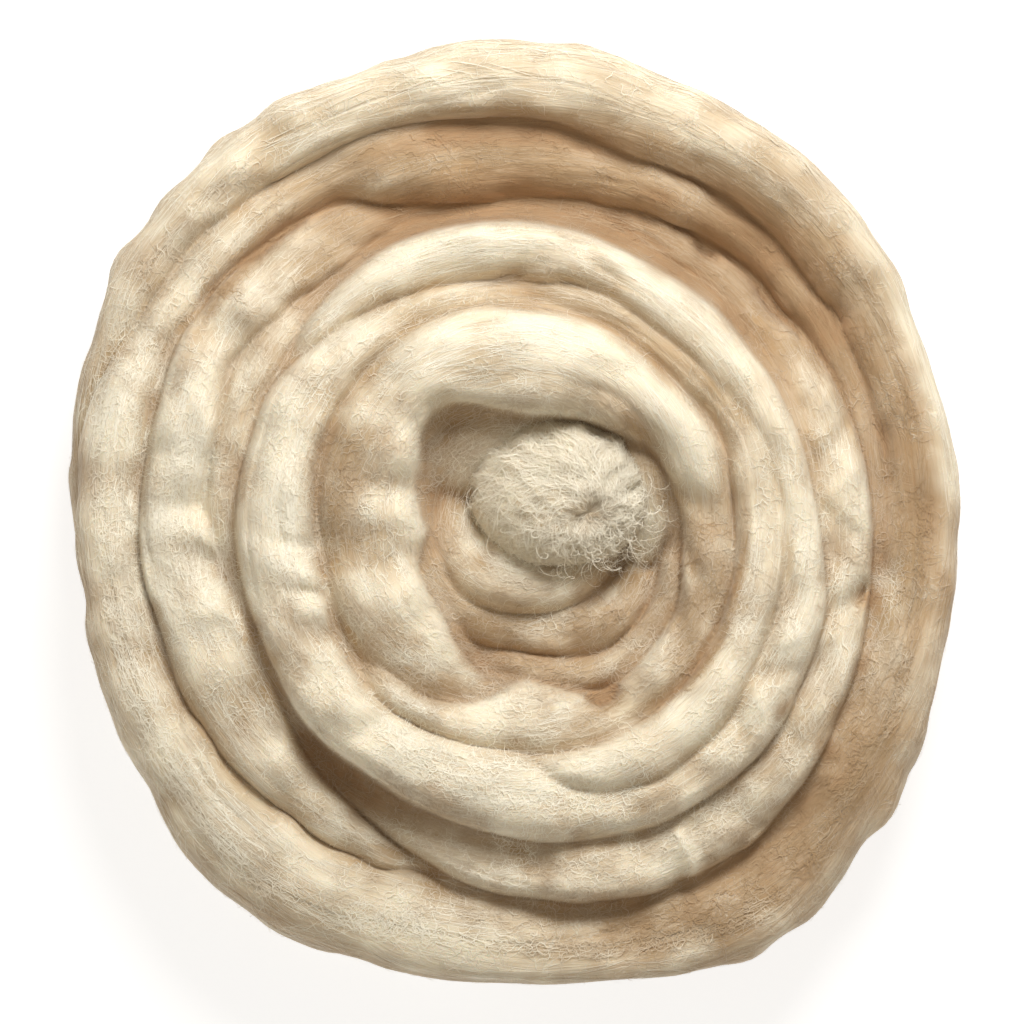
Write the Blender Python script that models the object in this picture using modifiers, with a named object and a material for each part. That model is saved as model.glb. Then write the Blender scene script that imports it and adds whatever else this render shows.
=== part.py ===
"""Wool roving: one length of combed wool top, wound by hand into a round, flat-bottomed coil.

The strand is laid on the surface as a flat spiral, its sole, and climbs over it in two more layers.
Each wound stretch below is a row of stations around the coil's upright axis, in millimetres and
degrees, because no two turns of a hand-wound coil lie alike. The strand's last stretch ends as a
soft puff in the middle. Wool has no gap to look through, so all of it is one solid.
"""
import math
from typing import NamedTuple

import bmesh
import bpy
import numpy as np
from mathutils import Matrix

MM = 0.001
PART_NAME = "roving_coil"

# Fineness of the model
POINT_SPACING = 5.0          # mm along a strand between the points of its curve
BEVEL_ROUNDNESS = 6          # gives each strand sixteen sides
VOXEL = 2.0                  # mm, grain at which the turns are felted into one body
FELTING_ROUNDS = 3           # smoothing passes over the felted body
FELTING_STRENGTH = 0.5
TRIANGLE_SHARE = 0.115       # share of the felted body's faces that is kept

# The bottom layer, a flat spiral of the strand at its natural thickness, slightly egg-shaped
SOLE_START_REACH = 5.0       # mm from the axis
SOLE_END_REACH = 96.5
SOLE_TURN_PITCH = 26.0       # mm between one turn and the next
SOLE_HALF_WIDTH = 13.0
SOLE_CENTRE_HEIGHT = 11.2    # under the half width, so the wool's weight flattens it
SOLE_OVAL = 0.036            # share by which it is longer along SOLE_OVAL_BEARING
SOLE_OVAL_BEARING = 120.0    # degrees
SOLE_LEAN = 0.026            # share by which it bulges towards SOLE_LEAN_BEARING
SOLE_LEAN_BEARING = 300.0
SOLE_TUCK = 24.0             # mm by which its outer end turns inwards, under the next layer
SOLE_TUCK_ANGLE = 50.0       # degrees that this takes

# The puff: the loose end of the strand, teased open in the middle of the coil
PUFF_CENTRE = (11.5, 5.5, 36.0)
PUFF_HALF_SIZE = (21.5, 18.0, 18.0)

# The block that cuts the coil flat where it rests
FLOOR_WIDTH = 400.0          # mm
FLOOR_DEPTH = 50.0

WOOL_COLOUR = (0.55, 0.43, 0.28, 1.0)
WOOL_ROUGHNESS = 0.95


class Station(NamedTuple):
    """One place on a wound strand, seen from the coil's axis."""

    bearing: float           # degrees counter-clockwise from +X, over 360 on a further turn
    reach: float             # mm from the axis to the middle of the strand
    half_width: float        # mm
    crown: float             # mm, the strand's top over the surface


class Ring(NamedTuple):
    """One height of the buried turns under the strands that show."""

    reach: float
    height: float


# Outermost strand: it starts inside the rim at the right, rises to the rim and dives under at the left
RIM = [
    Station(-40, 101.0, 7.0, 30),
    Station(-15, 95.0, 8.0, 33),
    Station(20, 91.0, 6.5, 34),
    Station(40, 89.0, 6.5, 35),
    Station(60, 89.5, 7.0, 36),
    Station(80, 86.0, 8.5, 37),
    Station(105, 90.0, 9.0, 38),
    Station(120, 97.0, 8.5, 39),
    Station(150, 99.5, 8.0, 40),
    Station(195, 100.5, 8.5, 38),
    Station(225, 104.0, 11.0, 37),
    Station(250, 105.5, 12.0, 35),
    Station(270, 107.5, 10.5, 34),
    Station(300, 113.0, 11.8, 34),
    Station(330, 105.5, 11.5, 38),
    Station(345, 102.5, 10.0, 40),
    Station(380, 101.5, 9.0, 43),
    Station(405, 103.5, 10.8, 46),
    Station(430, 103.0, 12.0, 47),
    Station(450, 104.5, 12.8, 47),
    Station(465, 105.5, 11.0, 46),
    Station(485, 110.0, 9.0, 44),
    Station(510, 108.5, 9.0, 38),
    Station(525, 104.5, 9.5, 33),
    Station(545, 100.5, 10.0, 27),
    Station(575, 105.0, 11.0, 24),
    Station(595, 109.0, 11.5, 24),
    Station(620, 104.5, 10.5, 24),
    Station(655, 94.0, 8.0, 22),
]

# Two strands side by side that round the left shoulder inside the rim
SHOULDER_OUTER = [
    Station(105, 82.0, 6.0, 30),
    Station(132, 84.0, 8.0, 42),
    Station(165, 84.0, 9.0, 45),
    Station(182, 84.0, 9.7, 44),
    Station(200, 82.0, 12.5, 45),
    Station(215, 84.5, 11.5, 44),
    Station(230, 88.0, 7.5, 42),
    Station(258, 92.0, 6.0, 34),
]
SHOULDER_INNER = [
    Station(125, 76.0, 5.0, 34),
    Station(140, 74.0, 5.5, 42),
    Station(160, 73.0, 6.0, 44),
    Station(182, 73.0, 5.0, 40),
    Station(195, 72.0, 4.5, 34),
]

# The belt that rises at the lower left, crosses the right side and sinks at the top
BELT = [
    Station(222, 75.0, 5.0, 28),
    Station(235, 78.0, 6.5, 33),
    Station(262, 86.0, 8.0, 40),
    Station(290, 94.0, 9.5, 42),
    Station(320, 91.0, 9.0, 42),
    Station(350, 82.0, 8.5, 43),
    Station(380, 80.5, 8.0, 40),
    Station(400, 77.5, 7.5, 38),
    Station(420, 77.5, 8.0, 38),
    Station(435, 76.5, 6.0, 37),
    Station(460, 77.0, 4.0, 28),
]

# The top ring, one full turn and a little more
RING = [
    Station(78, 50.0, 5.0, 42),
    Station(105, 55.0, 5.5, 48),
    Station(135, 58.0, 8.0, 53),
    Station(165, 60.0, 10.0, 55),
    Station(195, 60.5, 11.0, 56),
    Station(225, 64.5, 10.0, 56),
    Station(255, 66.5, 9.5, 56),
    Station(270, 69.0, 10.5, 56),
    Station(285, 76.0, 9.0, 55),
    Station(300, 79.5, 7.0, 52),
    Station(325, 77.0, 7.0, 50),
    Station(340, 75.5, 8.0, 50),
    Station(370, 70.0, 6.0, 52),
    Station(400, 65.0, 8.0, 54),
    Station(430, 64.5, 8.0, 54),
    Station(460, 67.0, 9.0, 52),
    Station(485, 68.5, 8.5, 49),
    Station(500, 69.0, 6.0, 42),
]

# The strand that runs beside the top ring on its inner side
INNER_RING = [
    Station(205, 48.0, 4.0, 46),
    Station(225, 53.0, 4.5, 51),
    Station(255, 55.5, 5.5, 53),
    Station(272, 55.5, 6.0, 53),
    Station(297, 66.0, 8.0, 54),
    Station(310, 67.5, 7.5, 53),
    Station(325, 65.0, 7.5, 51),
    Station(355, 62.0, 7.0, 51),
    Station(385, 59.5, 7.0, 52),
    Station(415, 57.0, 6.7, 50),
    Station(440, 57.0, 6.0, 49),
    Station(455, 60.0, 5.0, 46),
]

# The highest turn, round the middle, lumpy where it was pressed together on the left
EYE_RING = [
    Station(-8, 50.0, 5.0, 36),
    Station(5, 47.0, 6.5, 42),
    Station(20, 45.0, 8.0, 48),
    Station(35, 43.5, 8.0, 53),
    Station(50, 41.5, 9.5, 57),
    Station(65, 40.0, 11.0, 59),
    Station(95, 40.0, 12.0, 60),
    Station(110, 42.5, 10.0, 59),
    Station(135, 41.5, 10.0, 57),
    Station(165, 38.5, 12.5, 55),
    Station(180, 37.0, 13.0, 54),
    Station(208, 39.0, 11.5, 53),
    Station(232, 42.0, 10.0, 52),
    Station(260, 45.5, 6.5, 47),
    Station(290, 49.0, 4.5, 40),
]

# Two low strands between the highest turn and the puff
FOLD_OUTER = [
    Station(245, 37.0, 4.0, 36),
    Station(275, 40.0, 4.5, 41),
    Station(290, 43.0, 4.5, 42),
    Station(303, 49.0, 7.0, 44),
    Station(333, 51.0, 7.5, 45),
    Station(348, 48.0, 7.0, 44),
    Station(375, 39.0, 5.0, 40),
]
FOLD_INNER = [
    Station(150, 20.0, 4.0, 30),
    Station(170, 21.5, 5.0, 36),
    Station(190, 24.0, 5.5, 38),
    Station(230, 26.0, 5.5, 38),
    Station(270, 29.0, 6.5, 38),
    Station(310, 34.0, 7.0, 38),
    Station(345, 37.5, 4.5, 37),
    Station(360, 36.0, 3.5, 35),
]

STRANDS = {
    "rim": RIM,
    "shoulder_outer": SHOULDER_OUTER,
    "shoulder_inner": SHOULDER_INNER,
    "belt": BELT,
    "ring": RING,
    "inner_ring": INNER_RING,
    "eye_ring": EYE_RING,
    "fold_outer": FOLD_OUTER,
    "fold_inner": FOLD_INNER,
}

# The buried turns, as one turned body: a pressed flat start, then low over the middle and high
# under the top ring
BURIED = [
    Ring(0.0, -1.0),
    Ring(9.0, -1.0),
    Ring(15.0, 6.0),
    Ring(97.0, 6.0),
    Ring(101.0, 20.0),
    Ring(93.0, 27.0),
    Ring(82.0, 33.0),
    Ring(72.0, 42.0),
    Ring(50.0, 43.0),
    Ring(38.0, 34.0),
    Ring(26.0, 27.0),
    Ring(0.0, 27.0),
]
BURIED_SIDES = 64


def clear_scene() -> None:
    """Remove every object that is there already."""
    for old in list(bpy.data.objects):
        bpy.data.objects.remove(old, do_unlink=True)


def wool_material() -> bpy.types.Material:
    """Dull cream wool."""
    material = bpy.data.materials.new("cream_wool")
    material.use_nodes = True
    shader = material.node_tree.nodes["Principled BSDF"]
    shader.inputs["Base Color"].default_value = WOOL_COLOUR
    shader.inputs["Roughness"].default_value = WOOL_ROUGHNESS
    shader.inputs["Metallic"].default_value = 0.0
    return material


def through_stations(stations: list, count: int) -> np.ndarray:
    """Stations read at `count` even bearings, on a cubic with matched slopes."""
    table = np.array(stations, float)
    knots = table[:, 0]
    slopes = np.gradient(table, knots, axis=0)
    bearings = np.linspace(knots[0], knots[-1], count)
    left = np.clip(np.searchsorted(knots, bearings, side="right") - 1, 0, len(knots) - 2)
    gap = (knots[left + 1] - knots[left])[:, None]
    t = (bearings[:, None] - knots[left][:, None]) / gap
    start, end = table[left], table[left + 1]
    rise, fall = slopes[left] * gap, slopes[left + 1] * gap
    return (
        (2 * t**3 - 3 * t**2 + 1) * start
        + (t**3 - 2 * t**2 + t) * rise
        + (3 * t**2 - 2 * t**3) * end
        + (t**3 - t**2) * fall
    )


def add_tube(name: str, bearings: np.ndarray, reach: np.ndarray, height: np.ndarray,
             half_width: np.ndarray) -> bpy.types.Object:
    """A round strand through polar points, its thickness given point by point; all in mm."""
    curve = bpy.data.curves.new(name, "CURVE")
    curve.dimensions = "3D"
    curve.bevel_depth = MM
    curve.bevel_resolution = BEVEL_ROUNDNESS
    curve.use_fill_caps = True
    spline = curve.splines.new("POLY")
    spline.points.add(len(bearings) - 1)
    angle = np.radians(bearings)
    places = np.column_stack([reach * np.cos(angle), reach * np.sin(angle), height, 1000 * np.ones_like(angle)])
    spline.points.foreach_set("co", (places * MM).ravel())
    spline.points.foreach_set("radius", half_width)
    tube = bpy.data.objects.new(name, curve)
    bpy.context.scene.collection.objects.link(tube)
    return tube


def add_strand(name: str, stations: list) -> bpy.types.Object:
    """A wound strand whose top follows its stations' crowns."""
    table = np.array(stations, float)
    length = math.radians(table[-1, 0] - table[0, 0]) * table[:, 1].mean()
    rows = through_stations(stations, int(length / POINT_SPACING))
    bearing, reach, half_width, crown = rows.T
    return add_tube(name, bearing, reach, crown - half_width, half_width)


def add_sole() -> bpy.types.Object:
    """The bottom layer: an even spiral, turn touching turn, closed by one turn at its full reach."""
    widening = 360.0 * (SOLE_END_REACH - SOLE_START_REACH) / SOLE_TURN_PITCH
    end = widening + 360.0 + SOLE_TUCK_ANGLE
    length = math.radians(widening) * (SOLE_START_REACH + SOLE_END_REACH) / 2
    length += math.radians(end - widening) * SOLE_END_REACH
    bearing = np.linspace(0.0, end, int(length / POINT_SPACING))
    tuck = np.clip((bearing - widening - 360.0) / SOLE_TUCK_ANGLE, 0.0, 1.0)
    reach = np.minimum(SOLE_START_REACH + SOLE_TURN_PITCH * bearing / 360.0, SOLE_END_REACH)
    reach -= SOLE_TUCK * tuck**2
    oval = SOLE_OVAL * np.cos(2 * np.radians(bearing - SOLE_OVAL_BEARING))
    lean = SOLE_LEAN * np.cos(np.radians(bearing - SOLE_LEAN_BEARING))
    level = np.ones_like(reach)
    return add_tube("sole", bearing, reach * (1 + oval + lean), SOLE_CENTRE_HEIGHT * level,
                    SOLE_HALF_WIDTH * level)


def add_buried() -> bpy.types.Object:
    """The buried turns, a profile turned about the upright axis."""
    mesh = bpy.data.meshes.new("buried")
    mesh.from_pydata([(ring.reach * MM, 0.0, ring.height * MM) for ring in reversed(BURIED)],
                     [(i, i + 1) for i in range(len(BURIED) - 1)], [])
    body = bpy.data.objects.new("buried", mesh)
    bpy.context.scene.collection.objects.link(body)
    screw = body.modifiers.new("turn", "SCREW")
    screw.steps = BURIED_SIDES
    screw.render_steps = BURIED_SIDES
    screw.use_merge_vertices = True
    screw.merge_threshold = 0.00005
    return body


def add_puff() -> bpy.types.Object:
    """The loose end in the middle."""
    bpy.ops.mesh.primitive_uv_sphere_add(segments=32, ring_count=16, radius=1.0)
    puff = bpy.context.object
    puff.name = "puff"
    puff.scale = [half * MM for half in PUFF_HALF_SIZE]
    puff.location = [place * MM for place in PUFF_CENTRE]
    bpy.context.view_layer.update()
    return puff


def as_mesh_object(source: bpy.types.Object) -> bpy.types.Object:
    """The evaluated shape of a curve or modified mesh as a closed mesh object; the source goes."""
    graph = bpy.context.evaluated_depsgraph_get()
    mesh = bpy.data.meshes.new_from_object(source.evaluated_get(graph))
    mesh.transform(source.matrix_world)
    shape = bmesh.new()
    shape.from_mesh(mesh)
    bmesh.ops.remove_doubles(shape, verts=shape.verts, dist=0.00005)
    bmesh.ops.recalc_face_normals(shape, faces=shape.faces)
    shape.to_mesh(mesh)
    shape.free()
    body = bpy.data.objects.new(source.name + "_mesh", mesh)
    bpy.data.objects.remove(source, do_unlink=True)
    return body


def joined(name: str, pieces: list, collection: bpy.types.Collection) -> bpy.types.Object:
    """One object that holds the faces of all the pieces."""
    whole = bmesh.new()
    for piece in pieces:
        whole.from_mesh(piece.data)
        bpy.data.objects.remove(piece, do_unlink=True)
    mesh = bpy.data.meshes.new(name)
    whole.to_mesh(mesh)
    whole.free()
    body = bpy.data.objects.new(name, mesh)
    collection.objects.link(body)
    return body


def add_floor_cutter(collection: bpy.types.Collection) -> bpy.types.Object:
    """A block whose top is the surface that the coil rests on."""
    bpy.ops.mesh.primitive_cube_add(size=1.0)
    block = bpy.context.object
    block.name = "floor_cutter"
    for owner in list(block.users_collection):
        owner.objects.unlink(block)
    collection.objects.link(block)
    block.data.transform(Matrix.Diagonal((FLOOR_WIDTH * MM, FLOOR_WIDTH * MM, FLOOR_DEPTH * MM, 1.0)))
    block.location.z = -FLOOR_DEPTH * MM / 2
    block.hide_render = True
    block.display_type = "WIRE"
    return block


def felt(body: bpy.types.Object, cutter: bpy.types.Object) -> None:
    """Turn the overlapping strands into one body and flatten what it rests on."""
    remesh = body.modifiers.new("felt", "REMESH")
    remesh.mode = "VOXEL"
    remesh.voxel_size = VOXEL * MM
    smooth = body.modifiers.new("soften", "SMOOTH")
    smooth.factor = FELTING_STRENGTH
    smooth.iterations = FELTING_ROUNDS
    thin = body.modifiers.new("thin", "DECIMATE")
    thin.ratio = TRIANGLE_SHARE
    thin.use_collapse_triangulate = True
    cut = body.modifiers.new("rest_flat", "BOOLEAN")
    cut.operation = "DIFFERENCE"
    cut.solver = "EXACT"
    cut.object = cutter


def build() -> None:
    """Model the coil."""
    clear_scene()
    parts = bpy.data.collections.new("wool_roving")
    cutters = bpy.data.collections.new("cutters")
    for group in (parts, cutters):
        bpy.context.scene.collection.children.link(group)
    pieces = [add_strand(name, stations) for name, stations in STRANDS.items()]
    pieces += [add_sole(), add_buried(), add_puff()]
    bpy.context.view_layer.update()
    coil = joined(PART_NAME, [as_mesh_object(piece) for piece in pieces], parts)
    coil.data.materials.append(wool_material())
    felt(coil, add_floor_cutter(cutters))
    for face in coil.data.polygons:
        face.use_smooth = True


build()
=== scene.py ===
"""Wool roving coil: the looks of one length of combed wool, wound into a round coil.

Every wound stretch is laid out on a table of stations, with lumps, creases and dents worked out with
numpy. The tops of all the stretches melt into one soft sheet, and the two that make the coil's outer
side have a surface of their own. Combed fibres and stray hairs lie on them, and the strand's teased
end sits in the middle as a puff. Lengths are millimetres until a mesh is made.
"""

import logging
import math
from collections.abc import Iterator
from dataclasses import dataclass, field
from typing import NamedTuple

import bpy
import numpy as np
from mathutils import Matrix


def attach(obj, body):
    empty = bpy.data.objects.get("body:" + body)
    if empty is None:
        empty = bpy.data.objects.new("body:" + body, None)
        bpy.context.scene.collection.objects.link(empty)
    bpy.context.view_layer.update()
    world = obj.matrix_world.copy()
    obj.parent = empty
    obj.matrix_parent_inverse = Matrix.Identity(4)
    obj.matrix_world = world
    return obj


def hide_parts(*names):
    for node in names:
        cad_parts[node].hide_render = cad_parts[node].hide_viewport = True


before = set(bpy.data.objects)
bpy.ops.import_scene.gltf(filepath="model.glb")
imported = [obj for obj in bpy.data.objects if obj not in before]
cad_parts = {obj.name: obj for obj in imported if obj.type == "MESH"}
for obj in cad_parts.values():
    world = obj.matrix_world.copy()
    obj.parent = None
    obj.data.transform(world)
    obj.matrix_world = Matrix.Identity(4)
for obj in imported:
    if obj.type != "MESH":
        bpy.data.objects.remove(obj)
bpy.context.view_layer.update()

LOG = logging.getLogger("wool_roving")
MM = 0.001
NODE = "roving_coil"
FULL_TURN = 2 * np.pi

Array = np.ndarray
Span = tuple[float, float]               # lowest and highest
Colour = tuple[float, float, float, float]


# ---- tables of the winding


class Station(NamedTuple):
    """One place on a wound strand, seen from the coil's upright axis."""

    bearing: float           # degrees counter-clockwise from +X, over 360 on a further turn
    reach: float             # mm from the axis to the middle of the strand
    half_width: float        # mm
    crown: float             # mm, the strand's top over the surface
    lean: float = 0.0        # how far outwards the crown lies, as a share of the half width


class Dent(NamedTuple):
    """A soft hollow or, with a negative depth, a bulge on a strand's surface."""

    bearing: float           # degrees, where along the strand
    around: float            # degrees round the strand: 0 outer side, 90 crown, 180 inner side
    length: float            # mm, along the strand
    spread: float            # degrees round the strand
    depth: float             # mm
    slant: float = 0.0       # mm that it shifts along the strand for each radian round it


class PaintedShadePatch(NamedTuple):
    """A patch of painted shade that makes the wool browner or, with a negative amount, of painted light
    that makes it whiter, fading as a bell.
    """

    bearing: float           # degrees
    reach: float             # mm from the axis
    along: float             # degrees
    across: float            # mm
    amount: float


RIM = [Station(*row) for row in (
    (-40, 102, 7, 28), (-20, 93.5, 4.5, 29), (0, 91, 4.2, 30), (15, 90.4, 4.8, 32), (30, 90.2, 5.2, 33),
    (45, 90, 5.6, 33), (60, 88.8, 5.6, 38), (75, 88.5, 8.8, 38), (90, 88.6, 10.8, 39), (100, 90.2, 11, 40),
    (110, 92.2, 10, 41), (120, 95.5, 7, 37), (135, 98, 6.4, 40), (150, 99.5, 6.4, 41),
    (165, 101.5, 7.4, 44), (180, 101.6, 9, 44), (195, 101.4, 9, 44), (210, 103.4, 9.8, 44, -0.1),
    (220, 105, 11.8, 43, -0.2), (232, 106.6, 13.6, 43, -0.25), (240, 107.2, 13, 42, -0.2),
    (250, 104.6, 12.9, 41), (260, 104.5, 12.5, 41, 0.2), (270, 106.2, 10.6, 43, 0.35),
    (280, 109.2, 9.5, 43, 0.3), (290, 111.8, 10.6, 42, 0.15), (300, 113.8, 11.2, 41),
    (310, 111.6, 11.9, 38), (320, 108.2, 12.1, 39), (330, 104.6, 12.3, 38), (340, 101.6, 10.6, 37, 0.35),
    (360, 101, 8.7, 37, 0.55), (380, 101, 7.8, 39, 0.55), (400, 103.4, 9.2, 44, 0.5),
    (410, 104, 8.4, 46, 0.5), (420, 104.2, 8.4, 47, 0.5), (430, 103.9, 9.6, 48, 0.45),
    (445, 107.4, 9.2, 49, 0.3), (455, 108.3, 8.4, 48, 0.2), (465, 108.8, 7.8, 47, 0.2),
    (480, 110, 7.6, 44, 0.2), (500, 110.1, 7.3, 41, 0.1), (515, 109.3, 7, 37), (530, 104.6, 8, 32),
    (545, 100.2, 9.8, 27), (575, 105, 11, 24), (595, 109, 11.5, 24), (620, 104.5, 10.5, 24),
    (655, 94, 8, 22),
)]
SHOULDER_OUTER = [Station(*row) for row in (
    (90, 76.6, 2.2, 28), (105, 77.8, 3, 30), (120, 81.8, 7, 35), (133, 82.6, 8.6, 43), (150, 86, 7.6, 48),
    (165, 84.4, 8, 48), (180, 84, 8.6, 47), (195, 82, 11, 47), (205, 82.6, 11.4, 47), (215, 83.4, 11, 46),
    (225, 85.6, 8.4, 45), (235, 88.4, 6.4, 42), (245, 90.6, 5.2, 40), (255, 91.6, 4, 37),
    (264, 94, 2.6, 34),
)]
SHOULDER_INNER = [Station(*row) for row in (
    (122, 77, 3.5, 33), (135, 74.5, 5.5, 41), (150, 74, 6, 46.5), (165, 72.6, 4.9, 46.5),
    (180, 73, 4.2, 45.5), (190, 73, 3.4, 43.5), (200, 73, 2.8, 36),
)]
BELT = [Station(*row) for row in (
    (222, 75.5, 3.8, 32), (235, 78.2, 5.9, 35), (247, 80.8, 6.6, 38), (257, 82.8, 7.4, 42),
    (265, 85.2, 8.2, 45), (273, 87.6, 8.6, 47), (284, 91, 8.6, 48), (292, 92.4, 8.6, 48),
    (302, 93, 8.3, 45), (315, 91, 8, 44), (325, 88.2, 7.6, 43), (337, 86.4, 7.2, 42), (350, 83.8, 7.4, 41),
    (365, 81.2, 7.6, 41), (380, 80, 7.4, 39), (392, 78.4, 7, 36), (402, 77.2, 6.6, 34),
    (412, 76.8, 6.4, 33), (425, 76.8, 6.4, 32), (440, 76.4, 4.8, 31), (455, 75.6, 2.8, 30),
    (466, 75.4, 1.8, 29),
)]
RING = [Station(*row) for row in (
    (60, 53.4, 2.8, 44), (78, 53.2, 4.2, 48), (92, 53.4, 4.2, 49), (105, 54, 4.8, 50), (120, 55.2, 5.4, 51),
    (138, 57.2, 7, 54), (150, 59, 8.4, 55), (165, 59.2, 9.2, 56), (180, 59.4, 9.7, 56),
    (203, 60.4, 9.4, 56), (213, 62.5, 9, 56), (225, 65, 8.7, 56), (240, 65.8, 8.4, 56), (252, 67, 9.4, 56),
    (262, 68.2, 10, 56), (270, 69.7, 10.4, 56), (278, 72.5, 10.2, 56), (285, 75.6, 8.5, 55),
    (293, 78.2, 7.2, 53), (302, 79, 6.6, 52), (312, 78.9, 6.6, 52), (325, 76.9, 6.5, 51),
    (340, 74.6, 6.2, 50), (360, 70, 5, 50), (378, 67.4, 5.6, 52, 0.2), (392, 64.6, 6.6, 53, 0.2),
    (405, 64, 6.4, 54, 0.1), (420, 63.6, 6.7, 54), (435, 64.4, 6.9, 54, 0.1), (450, 65, 7.2, 53, 0.3),
    (465, 65.4, 7, 52, 0.3), (480, 66.5, 6, 50), (492, 66.5, 4.8, 48), (505, 66.8, 3.2, 46),
    (520, 67.6, 2, 43),
)]
INNER_RING = [Station(*row) for row in (
    (258, 62.5, 2.8, 45), (270, 62.8, 3.8, 51), (280, 64.8, 4.8, 55.5), (288, 66.6, 5.8, 56.5),
    (298, 67.9, 6.9, 56.5), (312, 67.3, 7, 55), (325, 65, 7, 53), (340, 63.3, 6.8, 52),
    (360, 61.5, 6.6, 51), (378, 60.8, 6.2, 52.5), (395, 57.4, 6, 51.5), (408, 56, 5.6, 50.5),
    (422, 55.4, 5.2, 50), (438, 55.2, 5, 48.5), (455, 55.2, 4.6, 48), (470, 55.6, 3.4, 47),
)]
EYE_RING = [Station(*row) for row in (
    (-155, 48.5, 3.2, 45), (-142, 50, 4.2, 49), (-128, 54, 4.5, 51), (-110, 54.8, 4.5, 52),
    (-98, 53.2, 6.6, 52, 0.1), (-90, 51.4, 8.8, 51, 0.2), (-80, 53, 9.4, 50, 0.2), (-70, 55.6, 7.9, 48),
    (-60, 56, 6.7, 46), (-48, 55, 6.9, 48), (-38, 54, 6.8, 47), (-30, 53, 6.7, 47), (-15, 50.5, 7.4, 48),
    (0, 48.8, 7.5, 47, 0.1), (12, 47.3, 8.3, 51, 0.2), (25, 44.6, 8.6, 55, 0.3), (38, 41.8, 9.4, 58, 0.35),
    (50, 40.4, 10.2, 59, 0.4), (65, 38.9, 11.9, 60, 0.2), (80, 37.8, 13, 60, 0.1),
    (92, 38.2, 12.8, 60, 0.05), (103, 39.6, 12.1, 60), (118, 41.9, 10.8, 59, 0.1), (135, 41.5, 10.5, 57),
    (150, 39.5, 11.8, 56), (165, 38.5, 12.8, 55), (180, 37, 13.4, 54), (192, 36, 13.6, 53),
    (203, 38, 13, 53), (212, 39.5, 12, 53, -0.1), (222, 41, 12.2, 52, -0.25), (235, 43, 11.8, 50, -0.35),
    (248, 46, 9.8, 48, -0.3), (260, 46, 5.4, 45), (274, 46.5, 3.2, 41),
)]
FOLD_OUTER = [Station(*row) for row in (
    (240, 38, 2.8, 33), (255, 37.6, 3.3, 36), (270, 38.6, 3.8, 37), (285, 41.3, 4.1, 37),
    (300, 44.8, 4.8, 37), (315, 44.8, 4.3, 37), (330, 44.4, 4.4, 37), (345, 42.4, 4.4, 37),
    (360, 39, 4.2, 37), (378, 36.5, 3, 35),
)]
FOLD_INNER = [Station(*row) for row in (
    (140, 23, 3.5, 32.5), (162, 22, 4.5, 37.5), (180, 24, 4.5, 38.5), (197, 25, 4.6, 38.5),
    (215, 25.4, 4.9, 38.5), (231, 26, 5.6, 37.5), (250, 27.6, 6.7, 36.5), (270, 28.4, 7, 35.5),
    (285, 30.7, 7.1, 35.5), (300, 33.6, 7.2, 35.5), (315, 35.2, 6.7, 35.5), (330, 35.8, 5.9, 34.5),
    (345, 35.4, 5, 34.5), (362, 35, 3.2, 32.5),
)]
STEM = [Station(*row) for row in (
    (130, 15, 6, 36), (165, 15, 8, 39), (200, 14, 9, 41), (240, 15, 9.5, 42), (280, 17, 9, 42),
    (320, 21, 8, 41), (350, 25, 6, 39),
)]
NEST = [Station(*row) for row in (
    (-25, 34.5, 6, 42), (0, 33.5, 7, 45), (20, 31.5, 7.5, 46), (40, 28, 7.5, 43), (70, 23, 8, 42),
    (110, 21, 10, 43), (150, 19, 10, 42), (190, 16, 8, 37),
)]

# Patches of painted shade (positive amounts) and painted light (negative amounts).
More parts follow.
